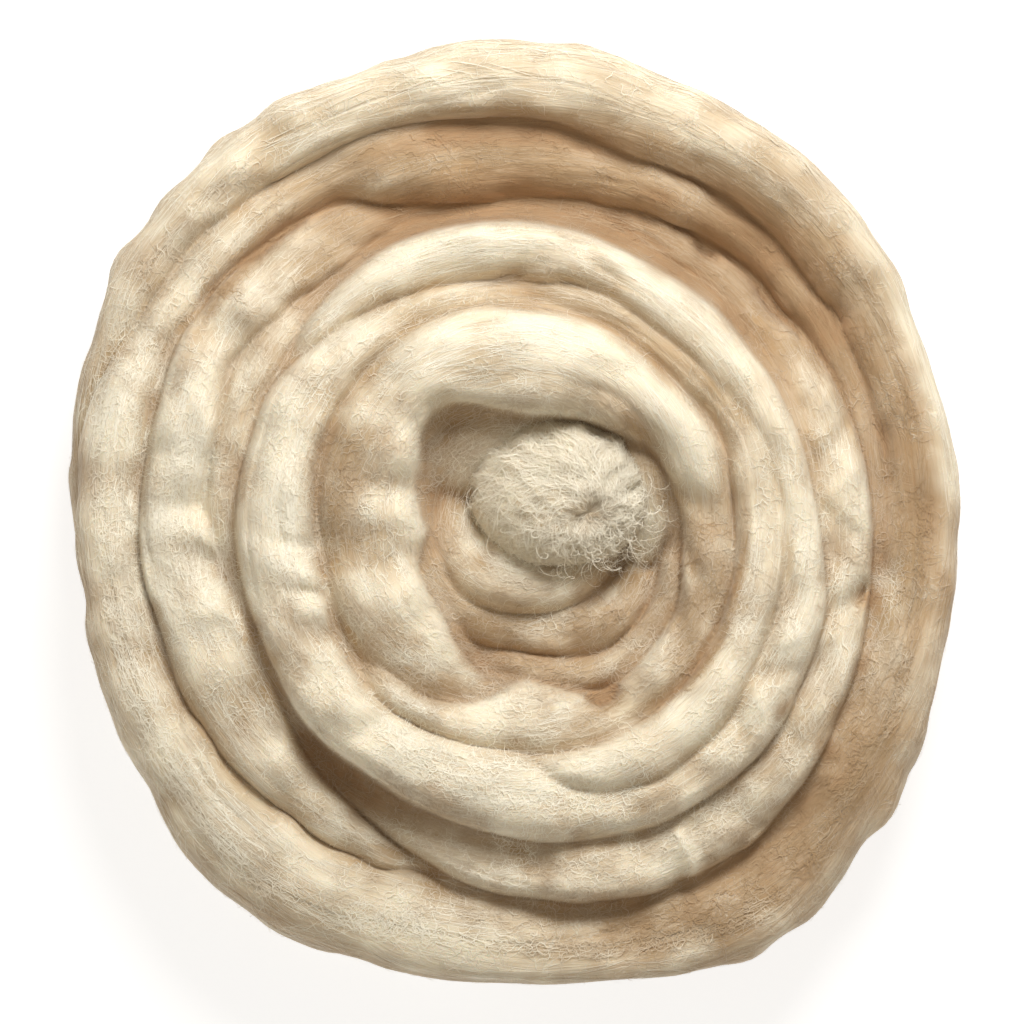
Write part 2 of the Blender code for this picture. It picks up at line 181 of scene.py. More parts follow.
PAINTED_SHADE_PATCHES = [PaintedShadePatch(*row) for row in (
    (0, 101, 32, 10, 1.1), (45, 96.5, 26, 4.5, 1.4), (50, 87, 28, 5, 1.3), (41, 73, 4, 1.5, 1),
    (57, 73, 3, 1.5, 1.2), (70, 74, 3, 2, 1.6), (54, 85.5, 3, 2, 1), (66, 86.5, 3, 2, 1),
    (35, 37, 26, 5, 0.8), (46, 107, 18, 7, 0.4), (95, 83, 26, 6, 1.4), (93, 95.5, 22, 4.5, 2.4),
    (50, 77, 24, 5, 0.8), (102, 76, 20, 4, 0.8), (306, 110, 28, 12, 1.05), (280, 108, 12, 4, 0.5),
    (243, 118, 22, 4, 0.4), (186, 110, 22, 3.5, 0.35), (244, 79, 16, 5, 0.5), (42, 56, 26, 4.5, 0.6),
    (85, 57, 9, 5, 0.3), (174, 42, 18, 7, 0.75), (242, 46, 16, 4, 0.35), (296, 36, 40, 8, 0.4),
    (345, 49, 22, 6, 0.8), (345, 32, 20, 6, -0.7), (133, 91.5, 15, 2.5, 1.4), (208, 49.5, 9, 2.5, -0.5),
    (320, 59.5, 14, 1.2, 1.5), (343, 57.5, 16, 1.2, 1.5), (318, 53, 16, 5, 0.45), (296, 51, 4, 2.5, 1.6),
    (297, 96, 1.8, 5, -1.2), (346.5, 91, 1.5, 2.5, 1.4), (336, 94.5, 2, 2, 1.2), (323, 98, 1.5, 3, 1.2),
    (323.5, 82.5, 2, 1.2, 1.5), (320, 77, 3, 2, -1.1), (334, 76, 2, 2.5, -0.9), (347, 84, 4, 3, -0.7),
    (339, 86, 3, 3, -0.6), (311, 66, 3, 3, -0.7), (347, 95.5, 9, 4, -0.9), (16, 110, 12, 3.5, -1),
    (31, 90, 5, 4, 1.3), (48, 92, 6, 4, 0.9), (317, 103, 14, 4.5, 0.6), (2, 94, 4, 3, -0.5),
    (106, 66, 16, 5, -0.7), (262, 109, 16, 6, -1), (277, 90, 14, 5, -0.2), (218, 110, 30, 12, -0.25),
    (190, 85, 30, 12, -0.25), (173, 81, 12, 6, -1.2), (129, 24, 20, 6, -0.2), (184, 75, 3, 3, -0.6),
    (203, 78, 6, 4, -0.5), (3, 66, 12, 4, -0.5), (178, 57, 11, 5, -1.1), (200, 54, 7, 3, -0.5),
    (203, 54, 7, 3, -0.5), (284, 70, 16, 5, -1), (122, 42, 12, 5, -0.5), (80, 43, 24, 5, -1),
    (247, 64, 22, 6, -1), (262, 20, 55, 6, 0.55), (24, 46, 15, 5, -1.3), (310, 67, 4, 6, -0.5),
    (216, 33, 8, 4, -0.5), (4, 81, 8, 5, -0.2), (205, 79, 14, 4, -0.5), (170, 100, 5, 7, -0.5),
    (222, 102, 14, 4, -0.4),
)]

# How sharply two strands, or two turns of one, are parted where it isn't 1.
PARTED = {frozenset(pair): depth for pair, depth in (
    (("rim", "rim"), 0.15),
    (("rim", "shoulder_outer"), 1.1),
    (("ring", "inner_ring"), 0.1),
    (("ring", "belt"), 0.7),
    (("ring", "ring"), 0.6),
    (("ring", "eye_ring"), 0.5),
    (("inner_ring", "eye_ring"), 1.2),
    (("shoulder_outer", "shoulder_inner"), 0.45),
    (("eye_ring", "fold_inner"), 0.5),
    (("fold_inner", "stem"), 0.2),
)}

RIM_DENTS = [Dent(*row) for row in (
    (447, 75, 2.5, 40, 1.2, 6), (465, 60, 4, 60, 1.2, 3), (483, 60, 4.5, 60, 0.7, -5),
    (500, 60, 4, 60, 0.5, -4), (514, 60, 4, 60, 0.5, 3), (298, 60, 3, 50, 1.2, 6),
    (236, 100, 5, 60, 1.35, 3), (250, 100, 5, 60, 1.35, -3), (200, 90, 5, 60, 1.05, 3),
    (217, 80, 5, 60, 1.05, -3),
)]
BELT_DENTS = [Dent(*row) for row in (
    (400, 150, 3.5, 40, 3.2), (417, 150, 3.5, 40, 3.8), (431, 150, 3.5, 40, 3.8), (398, 30, 7, 40, 2.6),
    (414, 30, 3.5, 40, 3.6), (426, 30, 3.5, 40, 3.6), (389, 90, 3.2, 90, 1.32, -5),
    (379, 90, 2.6, 70, -0.84, -5), (372, 90, 3.2, 80, 1.8, -5), (365, 90, 2.6, 70, -0.84, -5),
    (358, 90, 3.4, 80, 1.7, 5), (346, 60, 3, 60, 2, -5), (339, 90, 3, 60, -1.3, -4),
    (331, 80, 3.4, 80, 1.8, 5), (322, 120, 3, 60, 2, 4), (297, 80, 2, 80, -1.8, 1),
    (291, 90, 3.4, 70, 0.72), (306, 90, 3.4, 70, 0.72, -4),
)]
SHOULDER_DENTS = [Dent(*row) for row in (
    (173, 90, 5, 60, -1.4), (179, 100, 3, 60, 1.3), (184, 140, 3, 35, -1.1), (189, 120, 4, 60, 1.6, 4),
    (203, 105, 9, 60, -1.8), (216, 100, 4, 60, 1.3, -4), (150, 90, 4, 60, 1.2, 5),
    (142, 90, 5, 60, -1.2, 5), (160, 90, 5, 60, -1, 5),
)]
EYE_DENTS = [Dent(*row) for row in (
    (104, 125, 6, 50, 1.12), (122, 115, 8, 45, -1.26), (139, 130, 5, 50, 1.12), (154, 130, 7, 40, -1.05),
    (169, 125, 5, 45, 1.05), (185, 130, 7, 40, -1.05), (200, 125, 5, 45, 0.98), (217, 120, 8, 40, -1.26),
    (229, 120, 4, 45, 0.7), (240, 120, 6, 40, -0.84), (-64, 145, 4, 34, 7), (-35, 120, 5, 60, 1.6, 6),
    (-18, 120, 5, 60, 1.4, 8), (8, 140, 5, 50, 1.8, 8),
)]
RING_DENTS = [Dent(*row) for row in (
    (178, 115, 6, 50, -1.5), (188, 120, 2.2, 50, 1.3, 3), (197, 135, 3.5, 40, -1.6, 4),
    (201, 130, 1.2, 40, 1, 4), (206, 135, 3, 40, -1.6, 4), (213, 145, 3, 45, 1.6, 3),
    (225, 110, 7, 60, -1.2, 3), (236, 110, 3, 50, 0.9, 3), (450, 150, 6, 35, 2.2, 6),
    (309, 150, 3, 60, -1.3), (316, 100, 2.5, 60, 1.4, 4), (322, 90, 3, 50, -1.3, 4),
    (329, 90, 2.5, 60, 1.3, -4), (336, 90, 3, 50, -1.2, -4),
)]


# ---- numpy helpers


def lattice_noise(x: Array, y: Array, seed: int, wrap: int = 0) -> Array:
    """Smooth noise from -1 to 1: random values on a unit lattice, joined by the fade 6t^5-15t^4+10t^3.

    Args:
        x: Places along the first axis, in lattice steps.
        y: Places along the second axis, in lattice steps.
        seed: Picks the random values.
        wrap: Lattice steps after which y repeats, or 0.

    Returns:
        One value for each place.
    """
    table = np.random.default_rng(seed).uniform(-1.0, 1.0, (256, 256))
    x, y = np.broadcast_arrays(x, y)
    column, row = np.floor(x).astype(int), np.floor(y).astype(int)
    along, across = x - column, y - row
    along = along**3 * (along * (6 * along - 15) + 10)
    across = across**3 * (across * (6 * across - 15) + 10)
    period = wrap or 256
    low, high = row % period, (row + 1) % period
    left, right = column % 256, (column + 1) % 256
    bottom = table[left, low] * (1 - along) + table[right, low] * along
    top = table[left, high] * (1 - along) + table[right, high] * along
    return bottom * (1 - across) + top * across


def plan_noise(x: Array, y: Array, grain: float, seed: int, shift: float = 60.0) -> Array:
    """Smooth noise over the plan, its grain in mm and its lattice moved on by `shift` steps."""
    return lattice_noise(x / grain + shift, y / grain + shift, seed)


def on_plan(bearing: Array, reach: Array) -> tuple[Array, Array]:
    """x and y in mm of the places at bearings in degrees and reaches in mm."""
    angle = np.radians(bearing)
    return reach * np.cos(angle), reach * np.sin(angle)


def through_stations(table: Array, bearings: Array) -> Array:
    """A table's rows read at any bearings, on cubics with matched slopes.

    Args:
        table: Stations as rows, the bearing first.
        bearings: Where to read, in degrees, of any shape.

    Returns:
        The other columns at each bearing, in a last axis.
    """
    knots = table[:, 0]
    slopes = np.gradient(table[:, 1:], knots, axis=0)
    at = np.clip(bearings, knots[0], knots[-1])
    left = np.clip(np.searchsorted(knots, at, side="right") - 1, 0, len(knots) - 2)
    gap = (knots[left + 1] - knots[left])[..., None]
    t = (at - knots[left])[..., None] / gap
    start, end = table[left, 1:], table[left + 1, 1:]
    rise, fall = slopes[left] * gap, slopes[left + 1] * gap
    return (
        (2 * t**3 - 3 * t**2 + 1) * start
        + (t**3 - 2 * t**2 + t) * rise
        + (3 * t**2 - 2 * t**3) * end
        + (t**3 - t**2) * fall
    )


def soft_step(x: Array) -> Array:
    """0 below 0, 1 above 1 and 3x^2-2x^3 between."""
    x = np.clip(x, 0.0, 1.0)
    return x * x * (3 - 2 * x)


def rounded(value: Array, squareness: float) -> Array:
    """A sine or cosine pushed outwards, sign kept: |v| to the power 2 / squareness."""
    return np.sign(value) * np.abs(value) ** (2.0 / squareness)


def melted(heights: list[Array], softness: float) -> Array:
    """The highest of several heights with the corners between them rounded off.

    It is softness times the logarithm of the sum of exp(height / softness), worked out about the
    coil's middle height so that no power gets too large.
    """
    middle, least = 40.0, 1e-30
    return softness * np.log(sum(np.exp((one - middle) / softness) for one in heights) + least) + middle


def combed_side(angle: Array, reach: Array) -> Array:
    """1 on the coil's combed far side, 0 near its middle and on the other sides.

    It is a soft step in the cosine of the angle, in radians, off the far side's middle at 70
    degrees, times a soft step in the reach from 20 to 40 mm.
    """
    off_middle = np.cos(angle - math.radians(70))
    return soft_step((off_middle - 0.1) / 0.6) * soft_step((reach - 20) / 20)


def unit(vectors: Array) -> Array:
    """Vectors of length 1 in the last axis."""
    return vectors / np.maximum(np.linalg.norm(vectors, axis=-1, keepdims=True), 1e-9)


def beside_run(spines: Array, beside: Array) -> Array:
    """Unit directions from the spines of fibres to places beside them, square to the fibres' run."""
    run = unit(np.gradient(spines, axis=1))
    across = beside - spines
    return unit(across - (across * run).sum(-1, keepdims=True) * run)


def quad_grid(rows: int, columns: int, closed: bool) -> Array:
    """Quads between neighbouring rows and columns of a grid of points.

    Args:
        rows: Number of rows.
        columns: Number of points in a row.
        closed: True where the last column joins the first.

    Returns:
        Rows of four point indices.
    """
    i, j = np.meshgrid(np.arange(rows - 1), np.arange(columns if closed else columns - 1), indexing="ij")
    k = (j + 1) % columns
    quads = np.stack([i * columns + j, (i + 1) * columns + j, (i + 1) * columns + k, i * columns + k], -1)
    return quads.reshape(-1, 4)


def capped_tube(rings: int, sides: int) -> tuple[Array, list[Array]]:
    """The quads of a tube of rings and the two caps that close its ends."""
    ring = np.arange(sides)
    return quad_grid(rings, sides, closed=True), [ring, (rings - 1) * sides + ring[::-1]]


def mesh_object(name: str, points: Array, quads: Array, caps: list[Array],
                uv: Array, shades: dict[str, Array], wrap: float = 99.0,
                girth: float = 99.0) -> bpy.types.Object:
    """A smooth-shaded mesh object made from whole arrays.

    Args:
        name: The object's name.
        points: Places in millimetres, one row each.
        quads: Faces of four points.
        caps: Further faces, each a row of point indices.
        uv: A flat texture place for each point, in metres.
        shades: Named numbers for each point.
        wrap: Length after which the first texture axis meets itself, in metres.
        girth: The same for the second axis.

    Returns:
        The object, linked to the scene.
    """
    mesh = bpy.data.meshes.new(name)
    sizes = np.concatenate([np.full(len(quads), 4), [len(cap) for cap in caps]]).astype(np.int32)
    corners = np.concatenate([quads.ravel(), *caps]).astype(np.int32)
    mesh.vertices.add(len(points))
    mesh.vertices.foreach_set("co", (points * MM).astype(np.float32).ravel())
    mesh.loops.add(len(corners))
    mesh.loops.foreach_set("vertex_index", corners)
    mesh.polygons.add(len(sizes))
    mesh.polygons.foreach_set("loop_start", (np.cumsum(sizes) - sizes).astype(np.int32))
    mesh.update(calc_edges=True)
    layer = mesh.uv_layers.new(name="lay")
    place = uv[corners]
    faces = place[: 4 * len(quads)].reshape(-1, 4, 2)
    for axis, whole in enumerate((wrap, girth)):
        along = faces[..., axis]
        along += whole * (along < along.max(axis=1, keepdims=True) - whole / 2)
    layer.data.foreach_set("uv", place.astype(np.float32).ravel())
    for key, numbers in shades.items():
        attribute = mesh.attributes.new(key, "FLOAT", "POINT")
        attribute.data.foreach_set("value", numbers.astype(np.float32))
    mesh.polygons.foreach_set("use_smooth", np.ones(len(sizes), bool))
    mesh.update()
    body = bpy.data.objects.new(name, mesh)
    bpy.context.scene.collection.objects.link(body)
    return body


# ---- the finishes


class Reading:
    """A shader socket whose sums and products add their own Math nodes."""

    def __init__(self, bench: "Bench", socket: bpy.types.NodeSocket) -> None:
        """Keep the bench to build on and the socket to read."""
        self.bench = bench
        self.socket = socket

    def combined(self, operation: str, other: "Reading | float") -> "Reading":
        """This and another socket or number through the Math node of that name."""
        made = self.bench.node("ShaderNodeMath", {"operation": operation}, {0: self, 1: other})
        return Reading(self.bench, made.outputs[0])

    def __add__(self, other: "Reading | float") -> "Reading":
        """This plus other."""
        return self.combined("ADD", other)

    def __mul__(self, other: "Reading | float") -> "Reading":
        """This times other."""
        return self.combined("MULTIPLY", other)


class Bench:
    """A material's nodes, added one by one."""

    def __init__(self, name: str) -> None:
        """Start a material with its plain shader."""
        self.material = bpy.data.materials.new(name)
        self.material.use_nodes = True
        self.tree = self.material.node_tree
        self.shader = self.tree.nodes["Principled BSDF"]

    def node(self, kind: str, settings: dict, sockets: dict) -> bpy.types.Node:
        """Add one node.

        Args:
            kind: The node's type.
            settings: Properties to set first.
            sockets: Numbers, colours or readings for its inputs, by name or place.

        Returns:
            The node.
        """
        made = self.tree.nodes.new(kind)
        for key, value in settings.items():
            setattr(made, key, value)
        self.fill(made, sockets)
        return made

    def fill(self, made: bpy.types.Node, sockets: dict) -> None:
        """Set or link a node's inputs."""
        for key, value in sockets.items():
            if isinstance(value, Reading):
                self.tree.links.new(value.socket, made.inputs[key])
            else:
                made.inputs[key].default_value = value

    def attribute(self, name: str) -> Reading:
        """A point's number of that name."""
        return Reading(self, self.node("ShaderNodeAttribute", {"attribute_name": name}, {}).outputs["Fac"])

    def coordinates(self, kind: str) -> Reading:
        """The texture coordinates of that name."""
        return Reading(self, self.node("ShaderNodeTexCoord", {}, {}).outputs[kind])

    def streaks(self, length: float, width: float, detail: float, curl: float) -> Reading:
        """Noise on the piece's own UV, drawn out along the strand.

        Args:
            length: Size of a streak along the strand, in metres.
            width: Size across it, in metres.
            detail: Number of finer layers.
            curl: How far the streaks wind about.

        Returns:
            A number from 0 to 1.
        """
        lay = self.coordinates("UV")
        drawn = self.node("ShaderNodeMapping", {}, {"Vector": lay, "Scale": (1 / length, 1 / width, 1.0)})
        noise = self.node("ShaderNodeTexNoise", {"noise_dimensions": "2D"},
                          {"Vector": Reading(self, drawn.outputs[0]), "Scale": 1.0, "Detail": detail,
                           "Roughness": 0.6, "Distortion": curl})
        return Reading(self, noise.outputs["Fac"])

    def clouds(self, size: float, detail: float) -> Reading:
        """Noise on object coordinates, the same in all directions, from 0 to 1."""
        place = self.coordinates("Object")
        noise = self.node("ShaderNodeTexNoise", {}, {"Vector": place, "Scale": 1 / size, "Detail": detail})
        return Reading(self, noise.outputs["Fac"])

    def hairlines(self, size: float, levels: float, squeeze: float) -> Reading:
        """Thin curving lines like strewn hairs: where a noise on object coordinates passes set levels.

        The noise times `levels` goes up and down between 0 and 1, and only its peaks are kept.

        Args:
            size: Grain of the noise, in metres.
            levels: Number of lines between the noise's low and high.
            squeeze: Where the peaks are cut off, near 1 for thin lines.

        Returns:
            0 off the lines, 1 on them.
        """
        place = self.coordinates("Object")
        noise = self.node("ShaderNodeTexNoise", {}, {"Vector": place, "Scale": 1 / size, "Detail": 1.0,
                                                     "Roughness": 0.5, "Distortion": 0.6})
        folded = (Reading(self, noise.outputs["Fac"]) * levels).combined("PINGPONG", 1.0)
        return self.spread(folded, squeeze, 1.0)

    def spread(self, reading: Reading, low: float, high: float) -> Reading:
        """A reading stretched so that low becomes 0 and high 1, cut off there."""
        made = self.node("ShaderNodeMapRange", {"clamp": True},
                         {"Value": reading, "From Min": low, "From Max": high})
        return Reading(self, made.outputs["Result"])

    def blend(self, amount: Reading, low: "Reading | tuple", high: "Reading | tuple") -> Reading:
        """A colour between two colours."""
        made = self.node("ShaderNodeMix", {"data_type": "RGBA"}, {"Factor": amount, "A": low, "B": high})
        return Reading(self, made.outputs["Result"])


@dataclass(frozen=True)
class Wool:
    """Cream combed wool, its colour streaked along the fibres, paler by painted highlight on the crests and
    browner by painted shade in the creases.
    """

    pale: Colour = (0.89, 0.81, 0.64, 1.0)
    tan: Colour = (0.515, 0.37, 0.21, 1.0)
    hair: Colour = (0.96, 0.92, 0.79, 1.0)
    # Painted shade: the colour that creases and hollows are darkened towards.
    crease: Colour = (0.43, 0.27, 0.145, 1.0)
    sheen: float = 0.25
    sheen_tint: Colour = (1.0, 0.96, 0.88, 1.0)
    bump: float = 0.0004                              # m, height of the streaks
    fine: tuple[float, ...] = (0.010, 0.0007, 2.0, 1.0)   # streaks: length, width in m, detail, curl
    broad: tuple[float, ...] = (0.035, 0.0030, 2.0, 0.6)
    patch: float = 0.013                              # m, size of lighter and darker patches
    patch_span: Span = (0.38, 0.60)                   # mix of streaks and patches that is tan, and pale
    hairs: tuple[float, ...] = (0.0050, 16.0, 0.72)   # drawn hairs: grain in m, lines, cut-off
    hairs_patch: float = 0.007                        # m, size of the patches in which they show
    hairs_span: Span = (0.42, 0.62)
    crossed: tuple[float, ...] = (0.0034, 13.0, 0.70)
    crossed_patch: float = 0.011
    crossed_span: Span = (0.46, 0.64)

    def dressed(self, name: str) -> Bench:
        """A bench with the settings that all the wool shares."""
        bench = Bench(name)
        bench.fill(bench.shader, {"Sheen Weight": self.sheen, "Sheen Roughness": 0.5,
                                  "Sheen Tint": self.sheen_tint, "Specular IOR Level": 0.2})
        return bench

    def body(self) -> bpy.types.Material:
        """The strands' own surface: fine streaks in colour and bump, paler by painted highlight on crests
        and browner by painted shade in creases.
        """
        bench = self.dressed("combed_wool")
        fine, broad = bench.streaks(*self.fine), bench.streaks(*self.broad)
        patches = bench.clouds(self.patch, 2.0)
        shown = bench.spread(bench.clouds(self.hairs_patch, 1.0), *self.hairs_span)
        crossed_shown = bench.spread(bench.clouds(self.crossed_patch, 1.0), *self.crossed_span)
        hairs = bench.hairlines(*self.hairs) * shown + bench.hairlines(*self.crossed) * crossed_shown
        light = bench.spread(fine * 0.2 + broad * 0.25 + patches * 0.55, *self.patch_span)
        # Tan to pale by the streaks and patches, and by the painted highlight on the crests.
        wool = bench.blend(light * 0.55 + bench.attribute("crest") * 0.6, self.tan, self.pale)
        wool = bench.blend(hairs * 0.5, wool, self.hair)
        # Painted shade in creases and hollows, with the mottle, blended towards the crease colour below.
        sunk = bench.attribute("sunk")
        height = fine * 0.5 + broad * 0.9 + hairs * 0.28
        bump = bench.node("ShaderNodeBump", {}, {"Height": height, "Distance": self.bump, "Strength": 1.0})
        bench.fill(bench.shader, {
            "Base Color": bench.blend(sunk, wool, self.crease),
            "Roughness": 0.75,
            "Normal": Reading(bench, bump.outputs[0]),
            "Subsurface Weight": 0.4,
            "Subsurface Radius": (1.0, 0.8, 0.6),
            "Subsurface Scale": 0.002,
        })
        return bench.material

    def fibre(self) -> bpy.types.Material:
        """Single fibres and tufts: each has its own shade, with painted light and shade mixed in, and
        painted shade in the creases.
        """
        bench = self.dressed("wool_fibre")
        wool = bench.blend(bench.attribute("shade"), self.tan, self.hair)
        # Painted shade: fibres in creases are blended towards the crease colour.
        bench.fill(bench.shader, {
            "Base Color": bench.blend(bench.attribute("sunk"), wool, self.crease),
            "Roughness": 0.6,
        })
        return bench.material


# ---- the wound strands


class Grain(NamedTuple):
    """The size of a noise on a strand's surface."""

    along: float             # mm
    around: int              # lattice steps round the strand
    seed: int                # added to the strand's own


BROAD, MIDDLING, SMALL = Grain(21, 3, 1), Grain(9, 7, 2), Grain(8, 23, 4)
CREASED, CREASED_WHERE = Grain(55, 5, 3), Grain(30, 4, 6)
WANDER_GRAIN = 20.0          # mm along a strand over which it strays from its table
WIDTH_GRAIN = 17.0           # mm, the same for its width
WIDTH_CHANGE = 0.06          # share by which its width varies
UPRIGHT = 5.0                # mm of a strand's half height that don't depend on its width
LEAST_TAPER = 0.0016         # square of the share of its section that an end keeps
NARROW = 8.0                 # mm, half width under which a strand's relief on the sheet gets fainter
SIDE_REACH = 1.3             # share of the half width out to which a strand's top is worked out
SIDE_FALL = 60.0             # mm by which a top falls within one half width past its side
FAR_BELOW = -200.0           # mm, where a strand has no top
OWN_STRETCH = 120.0          # degrees to each side of a fibre that don't hide it
TEXTURE_RADIUS = 10.0        # mm, strand radius by which the texture is laid round it


@dataclass
class Strand:
    """One wound stretch of the roving, its surface a function of bearing and angle round it."""

    name: str
    stations: list[Station]
    seed: int
    dents: list[Dent] = field(default_factory=list)
    lumps: float = 0.9            # mm, height of the soft lumps
    creases: float = 0.5          # mm, depth of the lengthwise creases
    crease_width: float = 0.09    # width of a crease, in heights of the noise that lays it
    tufts: float = 0.12           # mm, height of the small tufts
    wander: float = 0.7           # mm, by which the strand strays from its table
    squareness: float = 2.25      # 2 is an ellipse
    rest: float = 0.0             # mm, height of the last turn's pressed side
    rest_step: float = 0.1        # mm by which the turn before lies higher, so no two share a plane
    step: float = 1.3             # mm between rings of points
    sides: int = 52
    tip: float = 14.0             # mm over which an end rounds off
    sink: float = 9.0             # mm by which an end dips under its neighbours
    sink_length: float = 30.0     # mm over which it dips

    def __post_init__(self) -> None:
        """Work out the table and the length along the strand."""
        self.table = np.array(self.stations, float)
        self.first, self.last = self.table[0, 0], self.table[-1, 0]
        self.bearings = np.linspace(self.first, self.last, int((self.last - self.first) * 2) + 2)
        rows = through_stations(self.table, self.bearings)
        arcs = np.radians(np.diff(self.bearings)) * (rows[1:, 0] + rows[:-1, 0]) / 2
        self.lengths = np.concatenate([[0.0], np.cumsum(arcs)])
        self.length = self.lengths[-1]

    def distance(self, bearing: Array) -> Array:
        """Millimetres along the strand at a bearing."""
        return np.interp(bearing, self.bearings, self.lengths)

    def bearing_at(self, distance: Array) -> Array:
        """The bearing at a distance along the strand."""
        return np.interp(distance, self.lengths, self.bearings)

    def turns(self, bearing: Array) -> Iterator[Array]:
        """The bearings along each of the strand's turns that lie over plain bearings."""
        for turn in range(math.floor((self.first - 180) / 360), math.ceil((self.last + 180) / 360) + 1):
            yield bearing + 360 * turn

    def section(self, bearing: Array) -> tuple[Array, ...]:
        """Reach, half width, half height and centre height of the strand in mm, and its lean.

        The half height is UPRIGHT and half the half width, since narrow strands are squeezed upright.
        Reach, crown and width stray on three rows of one noise.
        """
        reach, half_width, crown, lean = np.moveaxis(through_stations(self.table, bearing), -1, 0)
        along = self.distance(bearing)
        reach = reach + self.wander * lattice_noise(along / WANDER_GRAIN, 0.5, self.seed)
        crown = crown + self.wander * lattice_noise(along / WANDER_GRAIN, 3.5, self.seed)
        half_width = half_width * (1 + WIDTH_CHANGE * lattice_noise(along / WIDTH_GRAIN, 7.5, self.seed))
        half_height = UPRIGHT + half_width / 2
        dip = 1 - soft_step(np.minimum(along, self.length - along) / self.sink_length)
        return reach, half_width, half_height, crown - half_height - self.sink * dip, lean

    def taper(self, bearing: Array) -> Array:
        """The share of its full section that the strand has: a quarter circle down to each end."""
        along = self.distance(bearing)
        from_end = np.clip(np.minimum(along, self.length - along) / self.tip, 0.0, 1.0)
        return np.sqrt(np.clip(1 - (1 - from_end) ** 2, LEAST_TAPER, 1.0))

    def relief(self, bearing: Array, around: Array) -> Array:
        """How far the surface stands off the plain section, in mm.

        Lumps are two soft noises. Creases run along the lines where a drawn-out noise crosses
        zero: minus depth times exp(-(noise / width)^2). Tufts are a finer noise. A dent is a
        bell in both directions.
        """
        along = self.distance(bearing)
        turn = around / FULL_TURN
        broad, middling, small, drawn, where = (
            lattice_noise(along / grain.along, turn * grain.around, self.seed + grain.seed, grain.around)
            for grain in (BROAD, MIDDLING, SMALL, CREASED, CREASED_WHERE))
        height = self.lumps * (0.9 * broad + 1.1 * middling) + self.tufts * small
        crease = np.exp(-((drawn / self.crease_width) ** 2))
        height = height - self.creases * soft_step(0.5 + where) * crease
        for dent in self.dents:
            lean = np.angle(np.exp(1j * (around - math.radians(dent.around))))
            here = float(self.distance(np.array(dent.bearing)))
            bell = ((along - here - dent.slant * lean) / dent.length) ** 2
            bell = bell + (lean / math.radians(dent.spread)) ** 2
            height = height - dent.depth * np.exp(-bell)
        return height

    def surface(self, bearing: Array, around: Array, lift: Array | float = 0.0) -> Array:
        """Places on the strand: a rounded ellipse carried along the winding.

        Args:
            bearing: Degrees along the strand.
            around: Radians round it: 0 outer side, a quarter turn the crown.
            lift: Millimetres off the surface.

        Returns:
            Places in mm, in a last axis.
        """
        reach, half_width, half_height, middle, lean = self.section(bearing)
        off = self.relief(bearing, around) + lift
        narrow = self.taper(bearing)
        out = reach + narrow * (half_width + off) * rounded(np.cos(around), self.squareness)
        out = out + narrow * lean * half_width * np.maximum(np.sin(around), 0.0)
        height = middle + narrow * (half_height + off) * rounded(np.sin(around), self.squareness)
        pressed = self.rest + self.rest_step * (self.last - bearing) / 360.0
        return np.stack([*on_plan(bearing, out), np.maximum(height, pressed)], -1)

    def tops(self, x: Array, y: Array) -> list[Array]:
        """The upper side of each of the strand's turns over any places.

        The relief fades towards the sides, where the sheet is too coarse for it, and on narrow strands.

        Args:
            x: Places in mm, one row of numbers.
            y: The same.

        Returns:
            One row of heights in mm for each turn, far below the floor where it isn't.
        """
        reach, bearing = np.hypot(x, y), np.degrees(np.arctan2(y, x))
        found = []
        for at in self.turns(bearing):
            near = np.flatnonzero((at >= self.first) & (at <= self.last))
            middle, half_width, half_height, centre, lean = self.section(at[near])
            narrow = self.taper(at[near])
            half_width, half_height = narrow * half_width, narrow * half_height
            share = (reach[near] - middle) / half_width
            share = share - lean * (1 - np.clip(np.abs(share), 0.0, 1.0) ** 1.5)
            close = np.abs(share) < SIDE_REACH
            near, share = near[close], share[close]
            half_width, half_height, centre = half_width[close], half_height[close], centre[close]
            off = narrow[close] * self.relief(at[near], np.arccos(np.clip(share, -1.0, 1.0)))
            fainter = 1 - 0.8 * np.clip(np.abs(share), 0.0, 1.0) ** 6
            off = off * np.minimum(half_width / NARROW, 1.0) * fainter
            off = np.maximum(off, -0.5 * half_width)
            share = np.abs(share) * half_width / (half_width + off)
            dome = np.clip(1 - share**self.squareness, 0.0, 1.0) ** (1 / self.squareness)
            heights = np.full(x.shape, FAR_BELOW)
            heights[near] = centre + (half_height + off) * dome - SIDE_FALL * np.maximum(share - 1, 0.0)
            found.append(heights)
        return found

    def grid(self) -> tuple[Array, Array]:
        """Bearings and angles of the surface's points, closer together round the crown."""
        rings = np.linspace(0.0, self.length, int(self.length / self.step) + 2)
        turn = np.arange(self.sides) * 2 * np.pi / self.sides
        around = turn + 0.45 * np.cos(turn)
        return np.meshgrid(self.bearing_at(rings), around, indexing="ij")

    def holds(self, points: Array, skin: float, own_bearing: Array | None = None) -> Array:
        """Which places lie inside the strand.

        Args:
            points: Places in mm.
            skin: Depth under the surface from which a place counts, in mm.
            own_bearing: For the strand's own fibres, where they lie, so that only its other turns count.

        Returns:
            True for each place inside.
        """
        reach = np.hypot(points[..., 0], points[..., 1])
        bearing = np.degrees(np.arctan2(points[..., 1], points[..., 0]))
        inside = np.zeros(reach.shape, bool)
        for at in self.turns(bearing):
            there = (at >= self.first) & (at <= self.last)
            if own_bearing is not None:
                there &= np.abs(at - own_bearing) > OWN_STRETCH
            if not there.any():
                continue
            middle, half_width, half_height, height, _ = self.section(np.clip(at, self.first, self.last))
            across = np.abs(reach - middle) / np.maximum(half_width - skin, 1.0)
            up = np.abs(points[..., 2] - height) / np.maximum(half_height - skin, 1.0)
            inside |= there & (across**self.squareness + up**self.squareness < 1)
        return inside

